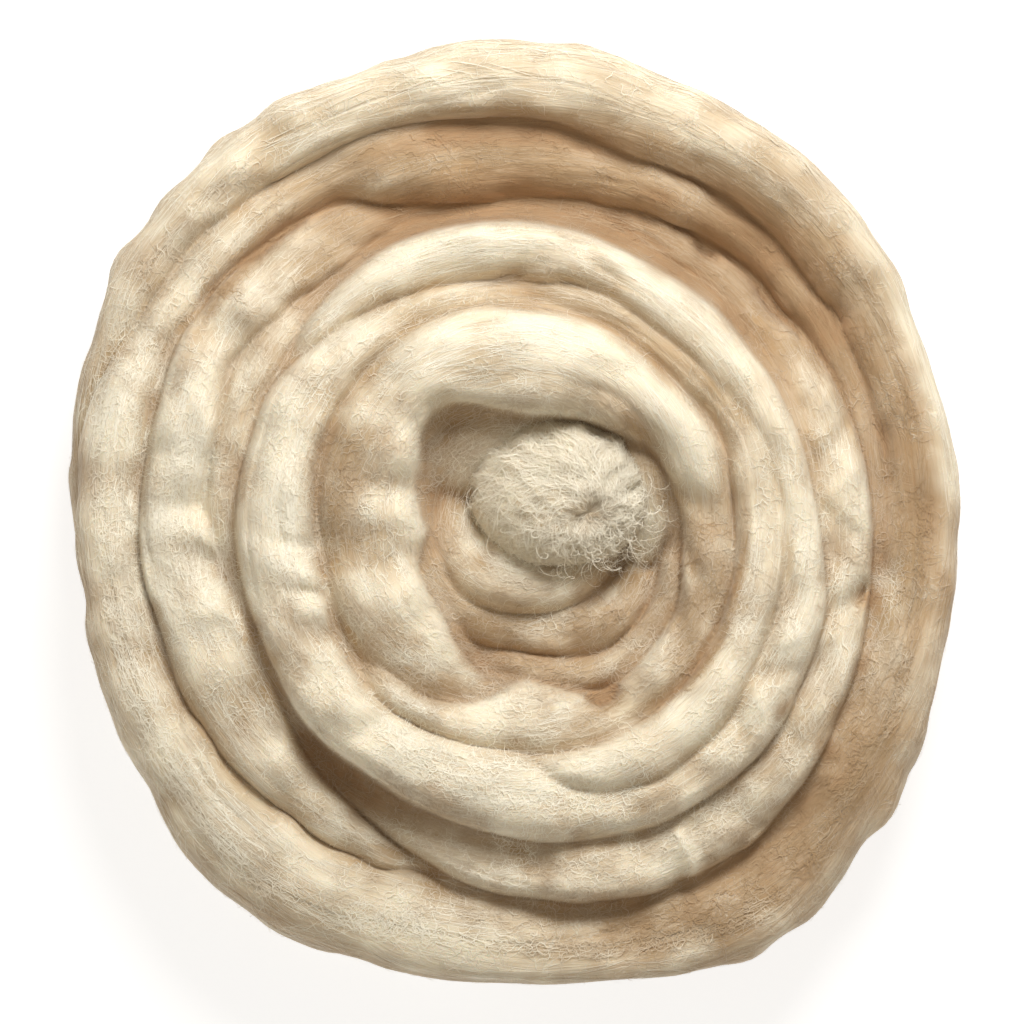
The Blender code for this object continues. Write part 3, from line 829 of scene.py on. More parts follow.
    def build(self, winding: "Winding") -> bpy.types.Object:
        """The strand's surface as one closed mesh."""
        bearing, around = self.grid()
        points = self.surface(bearing, around)
        uv = np.stack([self.distance(bearing), around * TEXTURE_RADIUS], -1).reshape(-1, 2) * MM
        flat = points.reshape(-1, 3)
        # Painted shade in the creases and painted highlight on the crests.
        shades = {"sunk": winding.sunk(flat), "crest": winding.crest(flat)}
        girth = FULL_TURN * TEXTURE_RADIUS * MM
        return mesh_object(self.name, flat, *capped_tube(*bearing.shape), uv, shades, girth=girth)


@dataclass
class Sole(Strand):
    """The bottom layer: an even, slightly egg-shaped spiral that the coil stands on."""

    start_reach: float = 5.0      # mm
    end_reach: float = 96.5       # mm
    pitch: float = 26.0           # mm from turn to turn
    thickness: float = 13.0       # mm, half width
    centre: float = 11.2          # mm, height of the strand's middle
    oval: float = 0.036           # share by which it is longer towards the next bearing
    oval_bearing: float = 120.0
    lean: float = 0.026           # share by which it bulges towards the next bearing
    lean_bearing: float = 300.0
    tuck: float = 24.0            # mm by which its outer end turns inwards
    tuck_angle: float = 50.0      # degrees that this takes
    station_angle: float = 15.0   # degrees between stations

    def __post_init__(self) -> None:
        """Lay the spiral out as stations, then work out the lengths."""
        widening = 360.0 * (self.end_reach - self.start_reach) / self.pitch
        end = widening + 360.0 + self.tuck_angle
        bearing = np.linspace(0.0, end, int(end / self.station_angle))
        tuck = np.clip((bearing - widening - 360.0) / self.tuck_angle, 0.0, 1.0)
        reach = np.minimum(self.start_reach + self.pitch * bearing / 360.0, self.end_reach)
        reach = reach - self.tuck * tuck**2
        oval = self.oval * np.cos(2 * np.radians(bearing - self.oval_bearing))
        lean = self.lean * np.cos(np.radians(bearing - self.lean_bearing))
        level = np.ones_like(reach)
        crown = self.centre + UPRIGHT + self.thickness / 2
        rows = [bearing, reach * (1 + oval + lean), self.thickness * level, crown * level, 0 * level]
        self.stations = np.stack(rows, -1)
        super().__post_init__()


@dataclass
class Field:
    """Heights in mm on a square grid about the coil's axis."""

    heights: Array
    cell: float                   # mm
    half_size: float              # mm

    def at(self, x: Array, y: Array) -> Array:
        """The height over any place, read in a straight line between the four nearest points."""
        last = len(self.heights) - 1.001
        u = np.clip((x + self.half_size) / self.cell - 0.5, 0.0, last)
        v = np.clip((y + self.half_size) / self.cell - 0.5, 0.0, last)
        i, j = u.astype(int), v.astype(int)
        u, v = u - i, v - j
        low = self.heights[i, j] * (1 - u) + self.heights[i + 1, j] * u
        high = self.heights[i, j + 1] * (1 - u) + self.heights[i + 1, j + 1] * u
        return low * (1 - v) + high * v

    def slopes(self, x: Array, y: Array, step: float = 0.5) -> tuple[Array, Array]:
        """The rise along x and along y from one `step` before each place to one after it, in mm."""
        return self.at(x + step, y) - self.at(x - step, y), self.at(x, y + step) - self.at(x, y - step)

    def blurred(self, size: float, weight: Array) -> "Field":
        """The field smoothed with a bell of `size` mm, each place counting by its weight."""
        wave = np.fft.fftfreq(len(self.heights), self.cell)
        bell = np.exp(-2 * (np.pi * size) ** 2 * (wave[:, None] ** 2 + wave[None, :] ** 2))
        total = np.fft.ifft2(np.fft.fft2(self.heights * weight) * bell).real
        share = np.fft.ifft2(np.fft.fft2(weight) * bell).real
        return Field(total / np.maximum(share, 0.02), self.cell, self.half_size)


@dataclass
class Winding:
    """All the strands together: the level that their tops make, and what each hides."""

    strands: list[Strand]
    rim: Strand
    parted: dict[frozenset[str], float]   # how sharply two strands are parted where it isn't 1
    painted_shade_patches: list[PaintedShadePatch]
    cell: float = 0.4             # mm, grain of the level
    half_size: float = 132.0      # mm, half the level's side
    softness: float = 0.6         # mm, over which neighbouring strands melt together
    pinch: float = 2.4            # mm, by which a sharp crease is deeper than the strands' own meeting
    pinch_width: float = 0.9      # mm to each side over which it fades
    pinch_steepest: float = 3.0   # slope beyond which a strand's side counts no steeper
    web_blur: float = 4.5         # mm, how far the matted wool between strands is smoothed
    web_below: float = 3.4        # mm that it lies under the tops around it
    around_blur: float = 5.0      # mm, how far round a place its depth is judged
    plain_blur: float = 22.0      # mm, the same for wide hollows
    shade_start: float = 0.6      # mm below the surroundings where the painted crease shade starts
    shade_full: float = 9.0       # mm where the painted crease shade is darkest
    hollow_start: float = 2.0     # mm below the wide surroundings where hollows start to get painted tan shade
    hollow_full: float = 12.0     # mm where they get the most of it
    uneven_grain: float = 13.0    # mm, grain of the creases' own unevenness
    mottles: tuple[tuple[float, float, int], ...] = ((0.34, 9, 621), (0.30, 4, 622))  # tone, mm, seed
    open_reach: float = 98.0      # mm from the axis where the open outer side starts
    open_full: float = 112.0      # mm where it is reached
    painted_highlight_start: float = -1.0     # mm over the surroundings where the painted highlight starts to make the wool pale
    painted_highlight_rise: float = 4.5       # mm until the painted highlight is palest

    def __post_init__(self) -> None:
        """Draw the level on its grid."""
        count = int(2 * self.half_size / self.cell)
        axis = (np.arange(count) + 0.5) * self.cell - self.half_size
        x, y = np.meshgrid(axis, axis, indexing="ij")
        self.creases = Field(self.parting(x, y), self.cell, self.half_size)
        bare = self.strand_tops(x.ravel(), y.ravel()).reshape(x.shape)
        lowest, edge_blur = 2.0, 2.0
        wool = (bare > lowest).astype(float)
        tops = Field(np.maximum(bare, 0.0), self.cell, self.half_size)
        self.web = tops.blurred(self.web_blur, wool)
        level = melted([bare, self.web.heights - self.web_below], self.softness)
        covered = tops.blurred(edge_blur, np.ones_like(wool)).heights > lowest
        self.level = Field(np.where(covered, level, 0.0), self.cell, self.half_size)
        self.around = self.level.blurred(self.around_blur, wool)
        self.plain = self.level.blurred(self.plain_blur, wool)

    def strand_tops(self, x: Array, y: Array) -> Array:
        """The melted tops of all the strands over any places, pinched in along their creases."""
        tops = [row for strand in self.strands for row in strand.tops(x, y)]
        return melted(tops, self.softness) - self.pinch * self.creases.at(x, y)

    def parting(self, x: Array, y: Array) -> Array:
        """How sharply the strands are parted at each point of the grid, from 0 to about 1.

        A crease lies where the two highest tops are level. The distance to it is their difference
        over the steepness of that difference, and the parting fades as exp(-(distance / width)^2).
        """
        tops, names = [], []
        for strand in self.strands:
            found = strand.tops(x.ravel(), y.ravel())
            tops.extend(found)
            names.extend([strand.name] * len(found))
        tops = np.stack(tops).reshape(-1, *x.shape)
        order = np.argsort(tops, axis=0)[-2:]
        second, first = np.take_along_axis(tops, order, 0)
        fall = [np.subtract(*np.take_along_axis(np.gradient(tops, self.cell, axis=axis), order, 0))
                for axis in (1, 2)]
        steepness = np.clip(np.hypot(*fall), 0.15, self.pinch_steepest)
        sharp = np.array([[self.parted.get(frozenset((one, other)), 1.0) for other in names]
                          for one in names])
        uneven = np.clip(0.65 + 0.9 * plan_noise(x, y, self.uneven_grain, 611, 40), 0.1, 1.4)
        off = (first - second) / steepness / self.pinch_width
        return sharp[order[0], order[1]] * uneven * np.exp(-(off**2))

    def surface(self, x: Array, y: Array) -> Array:
        """Height of the wool over any places: the strands' tops and the matted wool between them."""
        return melted([self.strand_tops(x, y), self.web.at(x, y) - self.web_below], self.softness)

    def edge(self, bearing: Array) -> Array:
        """Reach in mm, at any bearings, of a line on the rim a little outside its crown."""
        found = np.zeros(bearing.shape)
        for at in self.rim.turns(bearing):
            there = (at >= self.rim.first) & (at <= self.rim.last)
            reach, half_width, *_ = self.rim.section(np.clip(at, self.rim.first, self.rim.last))
            found = np.maximum(found, np.where(there, reach + 0.5 * half_width, 0.0))
        return found

    def sunk(self, points: Array) -> Array:
        """Painted shade at each place, from 0 to 1: how deep it lies in a crease or hollow, plus half its
        mottle and painted patches.

        It is the sum of three parts, creases, 0.45 of wide hollows and 0.3 of the pinched creases,
        and fades out on the open outer side.
        """
        x, y = points[..., 0], points[..., 1]
        inner = soft_step((self.open_full - np.hypot(x, y)) / (self.open_full - self.open_reach))
        crease = (self.around.at(x, y) - points[..., 2] - self.shade_start) / self.shade_full
        hollow = (self.plain.at(x, y) - points[..., 2] - self.hollow_start) / self.hollow_full
        deep = np.clip(crease, 0.0, 1.0) + 0.45 * np.clip(hollow, 0.0, 1.0) + 0.3 * self.creases.at(x, y)
        return np.clip(np.clip(deep, 0.0, 1.0) * inner + 0.5 * self.tone(points), 0.0, 1.0)

    def tone(self, points: Array) -> Array:
        """How much browner than usual the wool is painted, below 0 where it is whiter: patches of painted
        shade and light, and a mottle of its own.

        It is the sum of the amounts, each times exp(-(bearing off / along)^2 - (reach off / across)^2),
        and of a mottle in two sizes that is fainter on the combed far side.
        """
        x, y = points[..., 0], points[..., 1]
        angle, reach = np.arctan2(y, x), np.hypot(x, y)
        total = sum(strength * plan_noise(x, y, grain, seed) for strength, grain, seed in self.mottles)
        total = total * (1 - 0.6 * combed_side(angle, reach))
        for tone in self.painted_shade_patches:
            turn = np.degrees(np.angle(np.exp(1j * (angle - math.radians(tone.bearing))))) / tone.along
            total += tone.amount * np.exp(-(turn**2) - ((reach - tone.reach) / tone.across) ** 2)
        return total

    def crest(self, points: Array) -> Array:
        """How pale each place is painted, from 0 to 1.2: a painted highlight, more so the higher it stands,
        and paler with whiter mottle and painted patches.
        """
        above = points[..., 2] - self.around.at(points[..., 0], points[..., 1])
        high = np.clip((above - self.painted_highlight_start) / self.painted_highlight_rise, 0.0, 1.0)
        return np.clip(high - 0.8 * self.tone(points), 0.0, 1.2)

    def hides(self, points: Array, owner: Strand, own_bearing: Array, skin: float) -> Array:
        """Which places lie inside any strand but their owner, `skin` mm or more under its surface."""
        inside = np.zeros(points.shape[:-1], bool)
        for strand in self.strands:
            inside |= strand.holds(points, skin, own_bearing if strand is owner else None)
        return inside


@dataclass
class Relief:
    """The coil's whole upper side: one soft sheet in which the strands' tops run into each other.

    Its points lie on rays from the axis, reach = edge * share^0.85 with even shares, at the
    winding's height. It dips into the rim along its edge, and a flat sheet closes it below.
    """

    rays: int = 430
    rings: int = 205
    under_shares: tuple[float, ...] = (0.86, 0.5, 0.02)
    under_height: float = 12.0    # mm
    proud: float = 0.3            # mm over the strands themselves
    dip: float = 3.0              # mm, along the edge
    dip_share: float = 0.05       # share of the reach over which it dips
    texture_reach: float = 70.0   # mm, reach at which the texture keeps its true length

    def build(self, winding: Winding) -> bpy.types.Object:
        """The sheet as one closed mesh."""
        bearing = np.linspace(0.0, 360.0, self.rays, endpoint=False)
        edge = winding.edge(bearing)
        share = np.linspace(0.002, 1.0, self.rings) ** 0.85
        upper = self.grid(winding, bearing, edge, share)
        lower = self.grid(winding, bearing, edge, np.array(self.under_shares))
        lower[:, 2] = self.under_height
        points = np.concatenate([upper, lower])
        rings = self.rings + len(self.under_shares)
        ray = np.radians(np.tile(bearing, rings))
        uv = np.stack([ray * self.texture_reach, np.hypot(points[:, 0], points[:, 1])], -1) * MM
        # Painted shade in the creases and painted highlight on the crests.
        shades = {"sunk": winding.sunk(points), "crest": winding.crest(points)}
        wrap = FULL_TURN * self.texture_reach * MM
        return mesh_object("wound_tops", points, *capped_tube(rings, self.rays), uv, shades, wrap=wrap)

    def grid(self, winding: Winding, bearing: Array, edge: Array, share: Array) -> Array:
        """Points of the sheet on every ray at the given shares of its reach."""
        x, y = on_plan(bearing, share[:, None] * edge)
        height = winding.surface(x.ravel(), y.ravel()).reshape(x.shape) + self.proud
        height = height - self.dip * soft_step((share[:, None] - 1 + self.dip_share) / self.dip_share)
        return np.stack([x, y, height], -1).reshape(-1, 3)


# ---- fibres


def ribbons(name: str, spines: Array, sides: Array, widths: Array, shade: Array,
            sunk: Array) -> bpy.types.Object:
    """Flat fibres: each a strip about its spine, drawn to a point at both ends.

    Args:
        name: The object's name.
        spines: Places along each fibre, fibres by places by 3, in mm.
        sides: Unit directions across each fibre at those places.
        widths: Each fibre's full width, in mm.
        shade: Each fibre's shade, 0 dark to 1 light.
        sunk: Painted crease shade, painted patches and mottle at each place.

    Returns:
        The object.
    """
    count, places = spines.shape[:2]
    t = np.linspace(0.0, 1.0, places)
    taper = 0.12 + 0.88 * np.sin(np.pi * t) ** 0.6
    half = (widths[:, None] * taper / 2)[..., None] * sides
    points = np.stack([spines - half, spines + half], 2).reshape(-1, 3)
    points[:, 2] = np.maximum(points[:, 2], 0.0)
    strip = quad_grid(places, 2, closed=False)[:, ::-1]
    quads = (strip[None] + (np.arange(count) * places * 2)[:, None, None]).reshape(-1, 4)
    uv = np.zeros((len(points), 2))
    shades = {"shade": np.repeat(shade, places * 2), "sunk": np.repeat(sunk.ravel(), 2)}
    return mesh_object(name, points, quads, [], uv, shades)


@dataclass(frozen=True)
class Lay:
    """How the fibres of a coat lie."""

    per_square_cm: float          # fibres over each square centimetre of a strand's upper side
    places: int                   # points along a fibre
    shortest: float               # mm
    longest: float                # mm
    thinnest: float               # mm
    thickest: float               # mm
    stray: float                  # radians by which a fibre turns off the strand's run
    loft: float                   # mm by which the loosest stand off
    bend: float                   # mm by which a fibre bows sideways
    wave: float                   # mm, height of its crimp
    shade_low: float              # 0 dark to 1 light
    shade_high: float


COMBED = Lay(18.0, 6, 8.0, 18.0, 0.10, 0.20, 0.09, 0.15, 0.5, 0.0, 0.35, 1.0)
WISPS = Lay(13.0, 9, 3.0, 8.0, 0.07, 0.14, 0.75, 0.9, 0.8, 0.12, 0.75, 1.0)


@dataclass
class Coat:
    """Fibres that lie on one strand, each following its creases and knuckles."""

    strand: Strand
    winding: Winding
    lay: Lay
    title: str
    girth: float = 30.0           # mm round the strand that the fibres are strewn over
    side: Span = (-0.45, 0.42)    # half turns round the strand from its outer side
    crimp: float = 2.4            # radians of a crimp for each millimetre
    least_lift: float = 0.03      # mm over the strand
    skins: Span = (0.9, 1.6)      # mm under another strand that hide a fibre's middle, and its root
    least_height: float = 2.0     # mm over the floor under which no fibre shows

    def build(self) -> bpy.types.Object:
        """All the fibres of the strand that show, as one mesh."""
        strand, lay = self.strand, self.lay
        chance = np.random.default_rng(strand.seed + 100 + lay.places)
        count = int(lay.per_square_cm * strand.length * self.girth / 100)
        start = chance.uniform(0.0, strand.length, count)
        around = chance.uniform(*self.side, count) * np.pi
        length = chance.uniform(lay.shortest, lay.longest, count)
        t = np.linspace(-0.5, 0.5, lay.places)
        turned_off = lay.stray * chance.normal(0.0, 1.0, count)
        turned_off = turned_off + 0.1 * lattice_noise(start / 14, around * 3, strand.seed + 9)
        bow = lay.bend * chance.normal(0.0, 1.0, count)[:, None] * (1 - 4 * t**2)
        phase = chance.uniform(0, 6.3, count)[:, None]
        crimped = lay.wave * np.sin(length[:, None] * t * self.crimp + phase)
        sideways = length[:, None] * t * np.sin(turned_off)[:, None] + bow + crimped
        along = start[:, None] + length[:, None] * t * np.cos(turned_off)[:, None]
        bearing = strand.bearing_at(np.clip(along, 0.5, strand.length - 0.5))
        turned = around[:, None] + sideways / TEXTURE_RADIUS
        loft = lay.loft * chance.random(count) ** 2
        rise = loft[:, None] * (1 - (2 * t) ** 2) + self.least_lift
        spines = strand.surface(bearing, turned, rise)
        middle = lay.places // 2
        shown = spines[:, middle, 2] > self.least_height
        for place, skin in zip((middle, 1), self.skins):
            shown &= ~self.winding.hides(spines[:, place], strand, bearing[:, place], skin)
        spines, bearing, turned = spines[shown], bearing[shown], turned[shown]
        across = beside_run(spines, strand.surface(bearing, turned + 0.02, rise[shown]))
        widths = chance.uniform(lay.thinnest, lay.thickest, count)[shown]
        shade = chance.uniform(lay.shade_low, lay.shade_high, count)[shown]
        # Painted shade and light from the patches, with the mottle; painted crease shade is added below.
        shade = np.clip(shade - 0.5 * self.winding.tone(spines[:, middle]), 0.0, 1.0)
        LOG.info("%s on %s: %d of %d show", self.title, strand.name, shown.sum(), count)
        name = f"{self.title}_{strand.name}"
        return ribbons(name, spines, across, widths, shade, self.winding.sunk(spines))


@dataclass(frozen=True)
class Fuzz:
    """Fibres strewn over the coil's upper side, each lying on it along a wandering line."""

    title: str
    count: int
    places: int                   # points along a fibre
    shortest: float               # mm
    longest: float                # mm
    thinnest: float               # mm
    thickest: float               # mm
    stray: float                  # radians by which fibres turn off the strands' run
    lean: float                   # radians by which all of them do
    bend: float                   # radians by which a fibre turns from end to end
    wiggle: float                 # radians, swing of its crimp
    loft: float                   # mm by which the loosest stand off
    shade_low: float              # 0 dark to 1 light
    shade_high: float
    seed: int
    thinned: float = 1.0          # 1 for few fibres on the combed far side, 0 for as many as elsewhere
    patch_grain: float = 13.0     # mm, size of the crowded patches
    drift_grain: float = 16.0     # mm, size of the patches that lean one way
    least_lift: float = 0.35      # mm over the coil

    def crowd(self, bearing: Array, reach: Array) -> Array:
        """How crowded the fibres are, from 0 to 1: in patches, and few on the coil's combed far side."""
        x, y = on_plan(bearing, reach)
        patch = soft_step(0.5 + 1.1 * plan_noise(x, y, self.patch_grain, self.seed + 7))
        return (0.2 + 0.8 * patch) * (1 - 0.85 * self.thinned * combed_side(np.radians(bearing), reach))

    def build(self, winding: Winding) -> bpy.types.Object:
        """All the fibres as one mesh.

        A fibre's heading is the strand's run, plus its own stray, a steady bend and a sine. Its
        points follow by summing steps along the heading.
        """
        chance = np.random.default_rng(self.seed)
        tries = 3 * self.count
        bearing = chance.uniform(0.0, 360.0, tries)
        reach = winding.edge(bearing) * np.sqrt(chance.uniform(0.01, 0.97, tries))
        kept = np.flatnonzero(chance.random(tries) < self.crowd(bearing, reach))[: self.count]
        bearing, reach = bearing[kept], reach[kept]
        start_x, start_y = on_plan(bearing, reach)
        count = len(kept)
        t = np.linspace(-0.5, 0.5, self.places)
        drift = plan_noise(start_x, start_y, self.drift_grain, self.seed + 1)
        heading = np.radians(bearing) + np.pi / 2 + self.lean + 0.5 * self.stray * drift
        heading = (heading + self.stray * chance.normal(0.0, 1.0, count))[:, None]
        length = chance.uniform(self.shortest, self.longest, count)[:, None]
        bend = self.bend * chance.normal(0.0, 1.0, count)[:, None]
        phase = chance.uniform(0, 6.3, count)[:, None]
        wave = self.wiggle * np.sin(t * length * chance.uniform(0.8, 2.2, count)[:, None] + phase)
        course = heading + bend * t + wave
        stride = length / (self.places - 1)
        back = stride * self.places / 2
        x = start_x[:, None] + np.cumsum(np.cos(course) * stride, axis=1) - back * np.cos(heading)
        y = start_y[:, None] + np.cumsum(np.sin(course) * stride, axis=1) - back * np.sin(heading)
        loft = self.loft * chance.random(count)[:, None] ** 2
        z = winding.level.at(x, y) + self.least_lift + loft * (1 - (2 * t) ** 2)
        spines = np.stack([x, y, z], -1)
        slope_x, slope_y = winding.level.slopes(x, y)
        facing = unit(np.stack([-slope_x, -slope_y, np.ones_like(x)], -1))
        across = unit(np.cross(facing, unit(np.gradient(spines, axis=1))))
        widths = chance.uniform(self.thinnest, self.thickest, count)
        shade = chance.uniform(self.shade_low, self.shade_high, count)
        middle = spines[:, self.places // 2]
        # Painted shade and light from the patches, the mottle and the painted highlight; 0.7 of the painted
        # crease shade below.
        shade = shade - 0.5 * winding.tone(middle) + 0.3 * (winding.crest(middle) - 0.7)
        shade = np.clip(shade, 0.0, 1.0)
        return ribbons(self.title, spines, across, widths, shade, 0.7 * winding.sunk(spines))


TOP_COATS = [
    Fuzz("combed_tops", 9000, 6, 7.0, 16.0, 0.10, 0.18, 0.12, 0.0, 0.25, 0.0, 0.08, 0.5, 1.0, 401, 0.0),
    Fuzz("fuzz_tops_a", 10300, 8, 2.5, 7.0, 0.10, 0.20, 0.6, 0.5, 1.0, 0.8, 0.4, 0.55, 1.0, 402),
    Fuzz("fuzz_tops_b", 10300, 8, 2.5, 8.0, 0.10, 0.20, 0.7, -0.4, 1.2, 0.9, 0.7, 0.55, 1.0, 403),
]


@dataclass
class Puff:
    """The strand's teased end: a dome whose fibres run out from a whorl and fall over its edge."""

    centre: tuple[float, float] = (11.5, 5.5)
    half_x: float = 21.8          # mm
    half_y: float = 18.4
    whorl: tuple[float, float] = (19.0, -0.3)
    crown: float = 53.5           # mm, its highest point
    girdle: float = 37.5          # mm, height where it is widest
    foot: float = 24.0            # mm, height of its lower end
    foot_share: float = 0.72      # width of the foot against the girdle's
    lumps: float = 1.3            # mm, height of its lumps
    dimple: float = 1.6           # mm, depth of the whorl
    dimple_reach: float = 4.5     # mm
    rays: int = 120
    rings: int = 44               # from the whorl to the rim
    skirt_rings: int = 12         # from the rim to the foot
    bare_reach: float = 9.0       # mm round the whorl in which the body is darker
    seed: int = 301
    fur: int = 12000              # fibres
    fur_places: int = 6           # points along a fibre
    fur_length: Span = (0.10, 0.30)     # share of the way from the whorl to the rim
    fur_swirl: Span = (0.35, 0.9)       # radians by which a fibre turns about the whorl: mean, spread
    fur_wave: float = 0.035             # radians, swing of its crimp
    fur_width: Span = (0.08, 0.16)      # mm
    fur_shade: Span = (0.7, 1.2)
    whorl_shade: float = 0.5            # by which the fur is darker at the whorl
    whorl_reach: float = 5.5            # mm
    curls: int = 400
    curl_places: int = 20
    curl_length: Span = (3.0, 10.0)     # mm
    curl_radius: Span = (0.5, 1.8)      # mm
    curl_turns: Span = (0.7, 2.2)
    curl_rise: float = 1.5              # mm by which its middle stands up
    curl_fall: float = 3.0              # mm by which its end hangs down
    curl_width: Span = (0.06, 0.11)     # mm

    def surface(self, ray: Array, out: Array, lift: Array | float = 0.0) -> Array:
        """Places on the dome.

        A ray from the whorl meets the oval rim at out = 1, and the height over the girdle is the
        root of one less the squared share of the way from the centre to the rim. From 1 to 2 the
        surface drops to the foot and draws in.

        Args:
            ray: Radians of the ray's direction from the whorl.
            out: 0 at the whorl, 1 at the rim, 2 at the foot.
            lift: Millimetres off the surface.

        Returns:
            Places in mm, in a last axis.
        """
        ray, out = np.broadcast_arrays(ray, out)
        dx, dy = np.cos(ray) / self.half_x, np.sin(ray) / self.half_y
        ox = (self.whorl[0] - self.centre[0]) / self.half_x
        oy = (self.whorl[1] - self.centre[1]) / self.half_y
        dot, size = ox * dx + oy * dy, dx * dx + dy * dy
        full = (-dot + np.sqrt(dot**2 - size * (ox * ox + oy * oy - 1))) / size
        inner, outer = np.minimum(out, 1.0), np.maximum(out - 1.0, 0.0)
        x, y = ox + dx * full * inner, oy + dy * full * inner
        share = np.sqrt(x * x + y * y)
        high = np.sqrt(np.maximum(1 - share**2, 0.0))
        pull = 1 - (1 - self.foot_share) * outer
        z = self.girdle + (self.crown - self.girdle) * high - (self.girdle - self.foot) * outer
        mean_half_width = 20.0
        facing = unit(np.stack([x * self.half_y, y * self.half_x, high * mean_half_width + 0.001], -1))
        lobes = lattice_noise(ray * 5 / FULL_TURN, out * 3, self.seed)
        small = lattice_noise(x * 5 + 40, y * 5 + 40, self.seed + 1)
        fine = lattice_noise(x * 14 + 80, y * 14 + 80, self.seed + 3)
        away = np.hypot(full * inner * np.cos(ray), full * inner * np.sin(ray))
        off = self.lumps * (small + 0.35 * fine + 0.3 * lobes * np.minimum(away / 6, 1.0))
        off = off - self.dimple * np.exp(-((away / self.dimple_reach) ** 2)) + lift
        x, y = self.centre[0] + x * self.half_x * pull, self.centre[1] + y * self.half_y * pull
        return np.stack([x, y, z], -1) + facing * off[..., None]

    def from_whorl(self, points: Array) -> Array:
        """How far places lie from the whorl in plan, in mm."""
        return np.hypot(points[:, 0] - self.whorl[0], points[:, 1] - self.whorl[1])

    def dome(self, winding: Winding) -> bpy.types.Object:
        """The puff's own body, closed at the whorl and under the foot."""
        ray = np.linspace(0.0, FULL_TURN, self.rays, endpoint=False)
        dome = np.linspace(0.002, 1.0, self.rings) ** 0.8
        out = np.concatenate([dome, np.linspace(1.08, 2.0, self.skirt_rings)])
        points = self.surface(ray[None], out[:, None]).reshape(-1, 3)
        uv = np.stack(np.broadcast_arrays(out[:, None] * 20, ray * 12), -1).reshape(-1, 2) * MM
        bare = 1 - soft_step(self.from_whorl(points) / self.bare_reach)
        # Painted shade at a third strength, and painted highlight over the dome except round the whorl,
        # where it is darker.
        shades = {"sunk": 0.35 * winding.sunk(points), "crest": 1 - 0.85 * bare}
        return mesh_object("puff", points, *capped_tube(len(out), self.rays), uv, shades)

    def coat(self, winding: Winding) -> bpy.types.Object:
        """Short curved fibres that run out from the whorl, like fur from a crown of hair."""
        chance = np.random.default_rng(self.seed + 5)
        ray = chance.uniform(0, FULL_TURN, self.fur)[:, None]
        out = 1.45 * chance.random(self.fur)[:, None] ** 0.62
        t = np.linspace(0.0, 1.0, self.fur_places)
        length = chance.uniform(*self.fur_length, self.fur)[:, None]
        swirl = chance.normal(*self.fur_swirl, self.fur)[:, None]
        wave = self.fur_wave * np.sin(t * 8 + chance.uniform(0, 6.3, self.fur)[:, None])
        outward = out + length * t
        sweep = ray + swirl * length * t**1.5 / np.maximum(outward, 0.25) + wave
        lift = chance.uniform(0.0, 1.1, self.fur)[:, None] * (1 - (1.5 * t - 0.75) ** 2 * 1.6) + 0.1
        spines = self.surface(sweep, outward, lift)
        across = beside_run(spines, self.surface(sweep + 0.02, outward, lift))
        widths = chance.uniform(*self.fur_width, self.fur)
        darker = np.exp(-((self.from_whorl(spines[:, self.fur_places // 2]) / self.whorl_reach) ** 2))
        shade = chance.uniform(*self.fur_shade, self.fur) - self.whorl_shade * darker
        # A little painted crease shade on the fur.
        return ribbons("puff_fur", spines, across, widths, shade, 0.15 * winding.sunk(spines))

    def curly_hairs(self) -> bpy.types.Object:
        """Loose curls at the puff's open side: each a helix that drifts over the dome's rim."""
        chance = np.random.default_rng(self.seed + 6)
        count = self.curls
        t = np.linspace(0.0, 1.0, self.curl_places)
        root = self.surface(chance.normal(-0.9, 0.9, count), chance.uniform(0.35, 1.5, count), 0.6)
        heading = chance.uniform(0, FULL_TURN, count)[:, None]
        length = chance.uniform(*self.curl_length, count)[:, None]
        curl = chance.uniform(*self.curl_radius, count)[:, None]
        turns = chance.uniform(*self.curl_turns, count)[:, None] * 2 * np.pi
        phase = chance.uniform(0, 6.3, count)[:, None]
        x = root[:, None, 0] + length * t * np.cos(heading) + curl * np.cos(turns * t + phase)
        y = root[:, None, 1] + length * t * np.sin(heading) + curl * np.sin(turns * t + phase)
        rise = self.curl_rise * np.sin(np.pi * t) * chance.random(count)[:, None]
        z = root[:, None, 2] + rise - self.curl_fall * t**2
        spines = np.stack([x, y, z], -1)
        run = unit(np.gradient(spines, axis=1))
        across = unit(np.cross(run, np.array([0.0, 0.0, 1.0])))
        widths = chance.uniform(*self.curl_width, count)
        shade = chance.uniform(0.8, 1.0, count)
        return ribbons("puff_curls", spines, across, widths, shade, np.zeros(spines.shape[:2]))


# ---- the stage


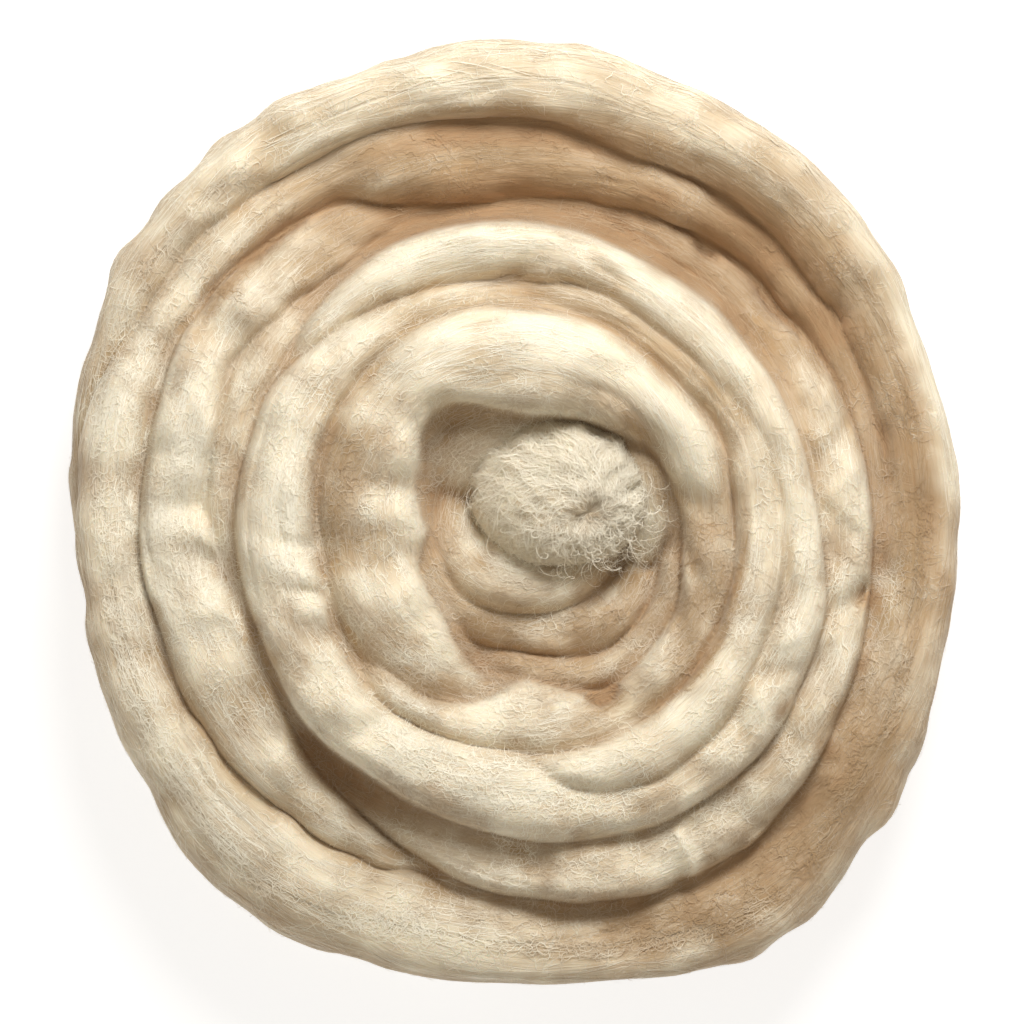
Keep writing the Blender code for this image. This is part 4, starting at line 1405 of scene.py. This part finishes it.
@dataclass(frozen=True)
class Studio:
    """A pale floor, one soft lamp over the coil's far side and an even fill."""

    camera_height: float = 2.4          # m over the floor
    view_width: float = 0.256           # m seen across at the height of the rim
    rim_height: float = 0.03            # m
    aim: tuple[float, float] = (-0.000625, 0.000375)
    sensor: float = 36.0                # mm
    lamp_place: tuple[float, float, float] = (0.11, 0.485, 0.565)
    lamp_size: float = 0.36             # m across
    lamp_power: float = 5.3             # W
    lamp_colour: tuple[float, float, float] = (1.0, 0.99, 0.97)
    fill: float = 0.42
    fill_colour: Colour = (1.0, 0.915, 0.79, 1.0)
    floor_width: float = 8.0            # m
    floor_drop: float = 0.0004          # m under the coil
    floor_grey: float = 0.45
    floor_glow: float = 0.75

    def camera(self) -> None:
        """Look straight down, with +Y upwards in view."""
        data = bpy.data.cameras.new("camera")
        data.sensor_width = self.sensor
        data.lens = self.sensor * (self.camera_height - self.rim_height) / self.view_width
        data.clip_end = 20.0
        camera = bpy.data.objects.new("camera", data)
        camera.location = (*self.aim, self.camera_height)
        bpy.context.scene.collection.objects.link(camera)
        bpy.context.scene.camera = camera

    def lamp(self) -> None:
        """The soft key lamp, aimed at the coil."""
        data = bpy.data.lights.new("key", "AREA")
        data.shape = "DISK"
        data.size = self.lamp_size
        data.energy = self.lamp_power
        data.color = self.lamp_colour
        lamp = bpy.data.objects.new("key", data)
        lamp.location = x, y, z = self.lamp_place
        lamp.rotation_euler = math.atan2(math.hypot(x, y), z), 0.0, math.atan2(y, x) + math.pi / 2
        bpy.context.scene.collection.objects.link(lamp)

    def world(self) -> None:
        """Even, slightly warm light from all round."""
        world = bpy.data.worlds.new("fill")
        world.use_nodes = True
        background = world.node_tree.nodes["Background"]
        background.inputs["Color"].default_value = self.fill_colour
        background.inputs["Strength"].default_value = self.fill
        bpy.context.scene.world = world

    def floor(self) -> None:
        """A wide pale floor just under the coil."""
        bpy.ops.mesh.primitive_plane_add(size=self.floor_width, location=(0.0, 0.0, -self.floor_drop))
        floor = bpy.context.object
        floor.name = "floor"
        bench = Bench("pale_floor")
        bench.fill(bench.shader, {
            "Base Color": (self.floor_grey, self.floor_grey, self.floor_grey, 1.0),
            "Roughness": 0.9,
            "Emission Color": (1.0, 1.0, 1.0, 1.0),
            "Emission Strength": self.floor_glow,
        })
        floor.data.materials.append(bench.material)

    def build(self) -> None:
        """Set up the whole stage."""
        self.camera()
        self.lamp()
        self.world()
        self.floor()
        bpy.context.scene.view_settings.view_transform = "Standard"


def placed(piece: bpy.types.Object, material: bpy.types.Material) -> None:
    """Dress a piece and let it ride with the coil in place of its plain solid."""
    piece.data.materials.append(material)
    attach(piece, "root")
    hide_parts(NODE)
    piece.data.calc_loop_triangles()
    LOG.info("%s: %d triangles", piece.name, len(piece.data.loop_triangles))


def main() -> None:
    """Build the coil and its stage, piece by piece."""
    logging.basicConfig(level=logging.INFO, format="%(message)s")
    Studio().build()
    wool = Wool()
    body, fibre = wool.body(), wool.fibre()
    sole = Sole("sole", [], 11, step=4.0, sides=32)
    rim = Strand("rim", RIM, 21, dents=RIM_DENTS, step=2.5, sides=40, rest=0.8)
    winding = Winding([
        sole,
        rim,
        Strand("shoulder_outer", SHOULDER_OUTER, 31, dents=SHOULDER_DENTS, lumps=1.6, wander=1.0,
               squareness=2.7),
        Strand("shoulder_inner", SHOULDER_INNER, 41, lumps=1.2, squareness=2.5),
        Strand("belt", BELT, 51, dents=BELT_DENTS, lumps=1.5, wander=1.0, squareness=2.5),
        Strand("ring", RING, 61, dents=RING_DENTS, lumps=1.0),
        Strand("inner_ring", INNER_RING, 71, lumps=0.8),
        Strand("eye_ring", EYE_RING, 81, dents=EYE_DENTS),
        Strand("fold_outer", FOLD_OUTER, 91),
        Strand("fold_inner", FOLD_INNER, 95),
        Strand("stem", STEM, 97),
        Strand("nest", NEST, 99),
    ], rim, PARTED, PAINTED_SHADE_PATCHES)
    placed(Relief().build(winding), body)
    for strand in (sole, rim):
        placed(strand.build(winding), body)
        for lay, title in ((COMBED, "combed"), (WISPS, "wisps")):
            placed(Coat(strand, winding, lay, title).build(), fibre)
    for coat in TOP_COATS:
        placed(coat.build(winding), fibre)
    puff = Puff()
    placed(puff.dome(winding), body)
    placed(puff.coat(winding), fibre)
    placed(puff.curly_hairs(), fibre)


if __name__ == "__main__":
    main()
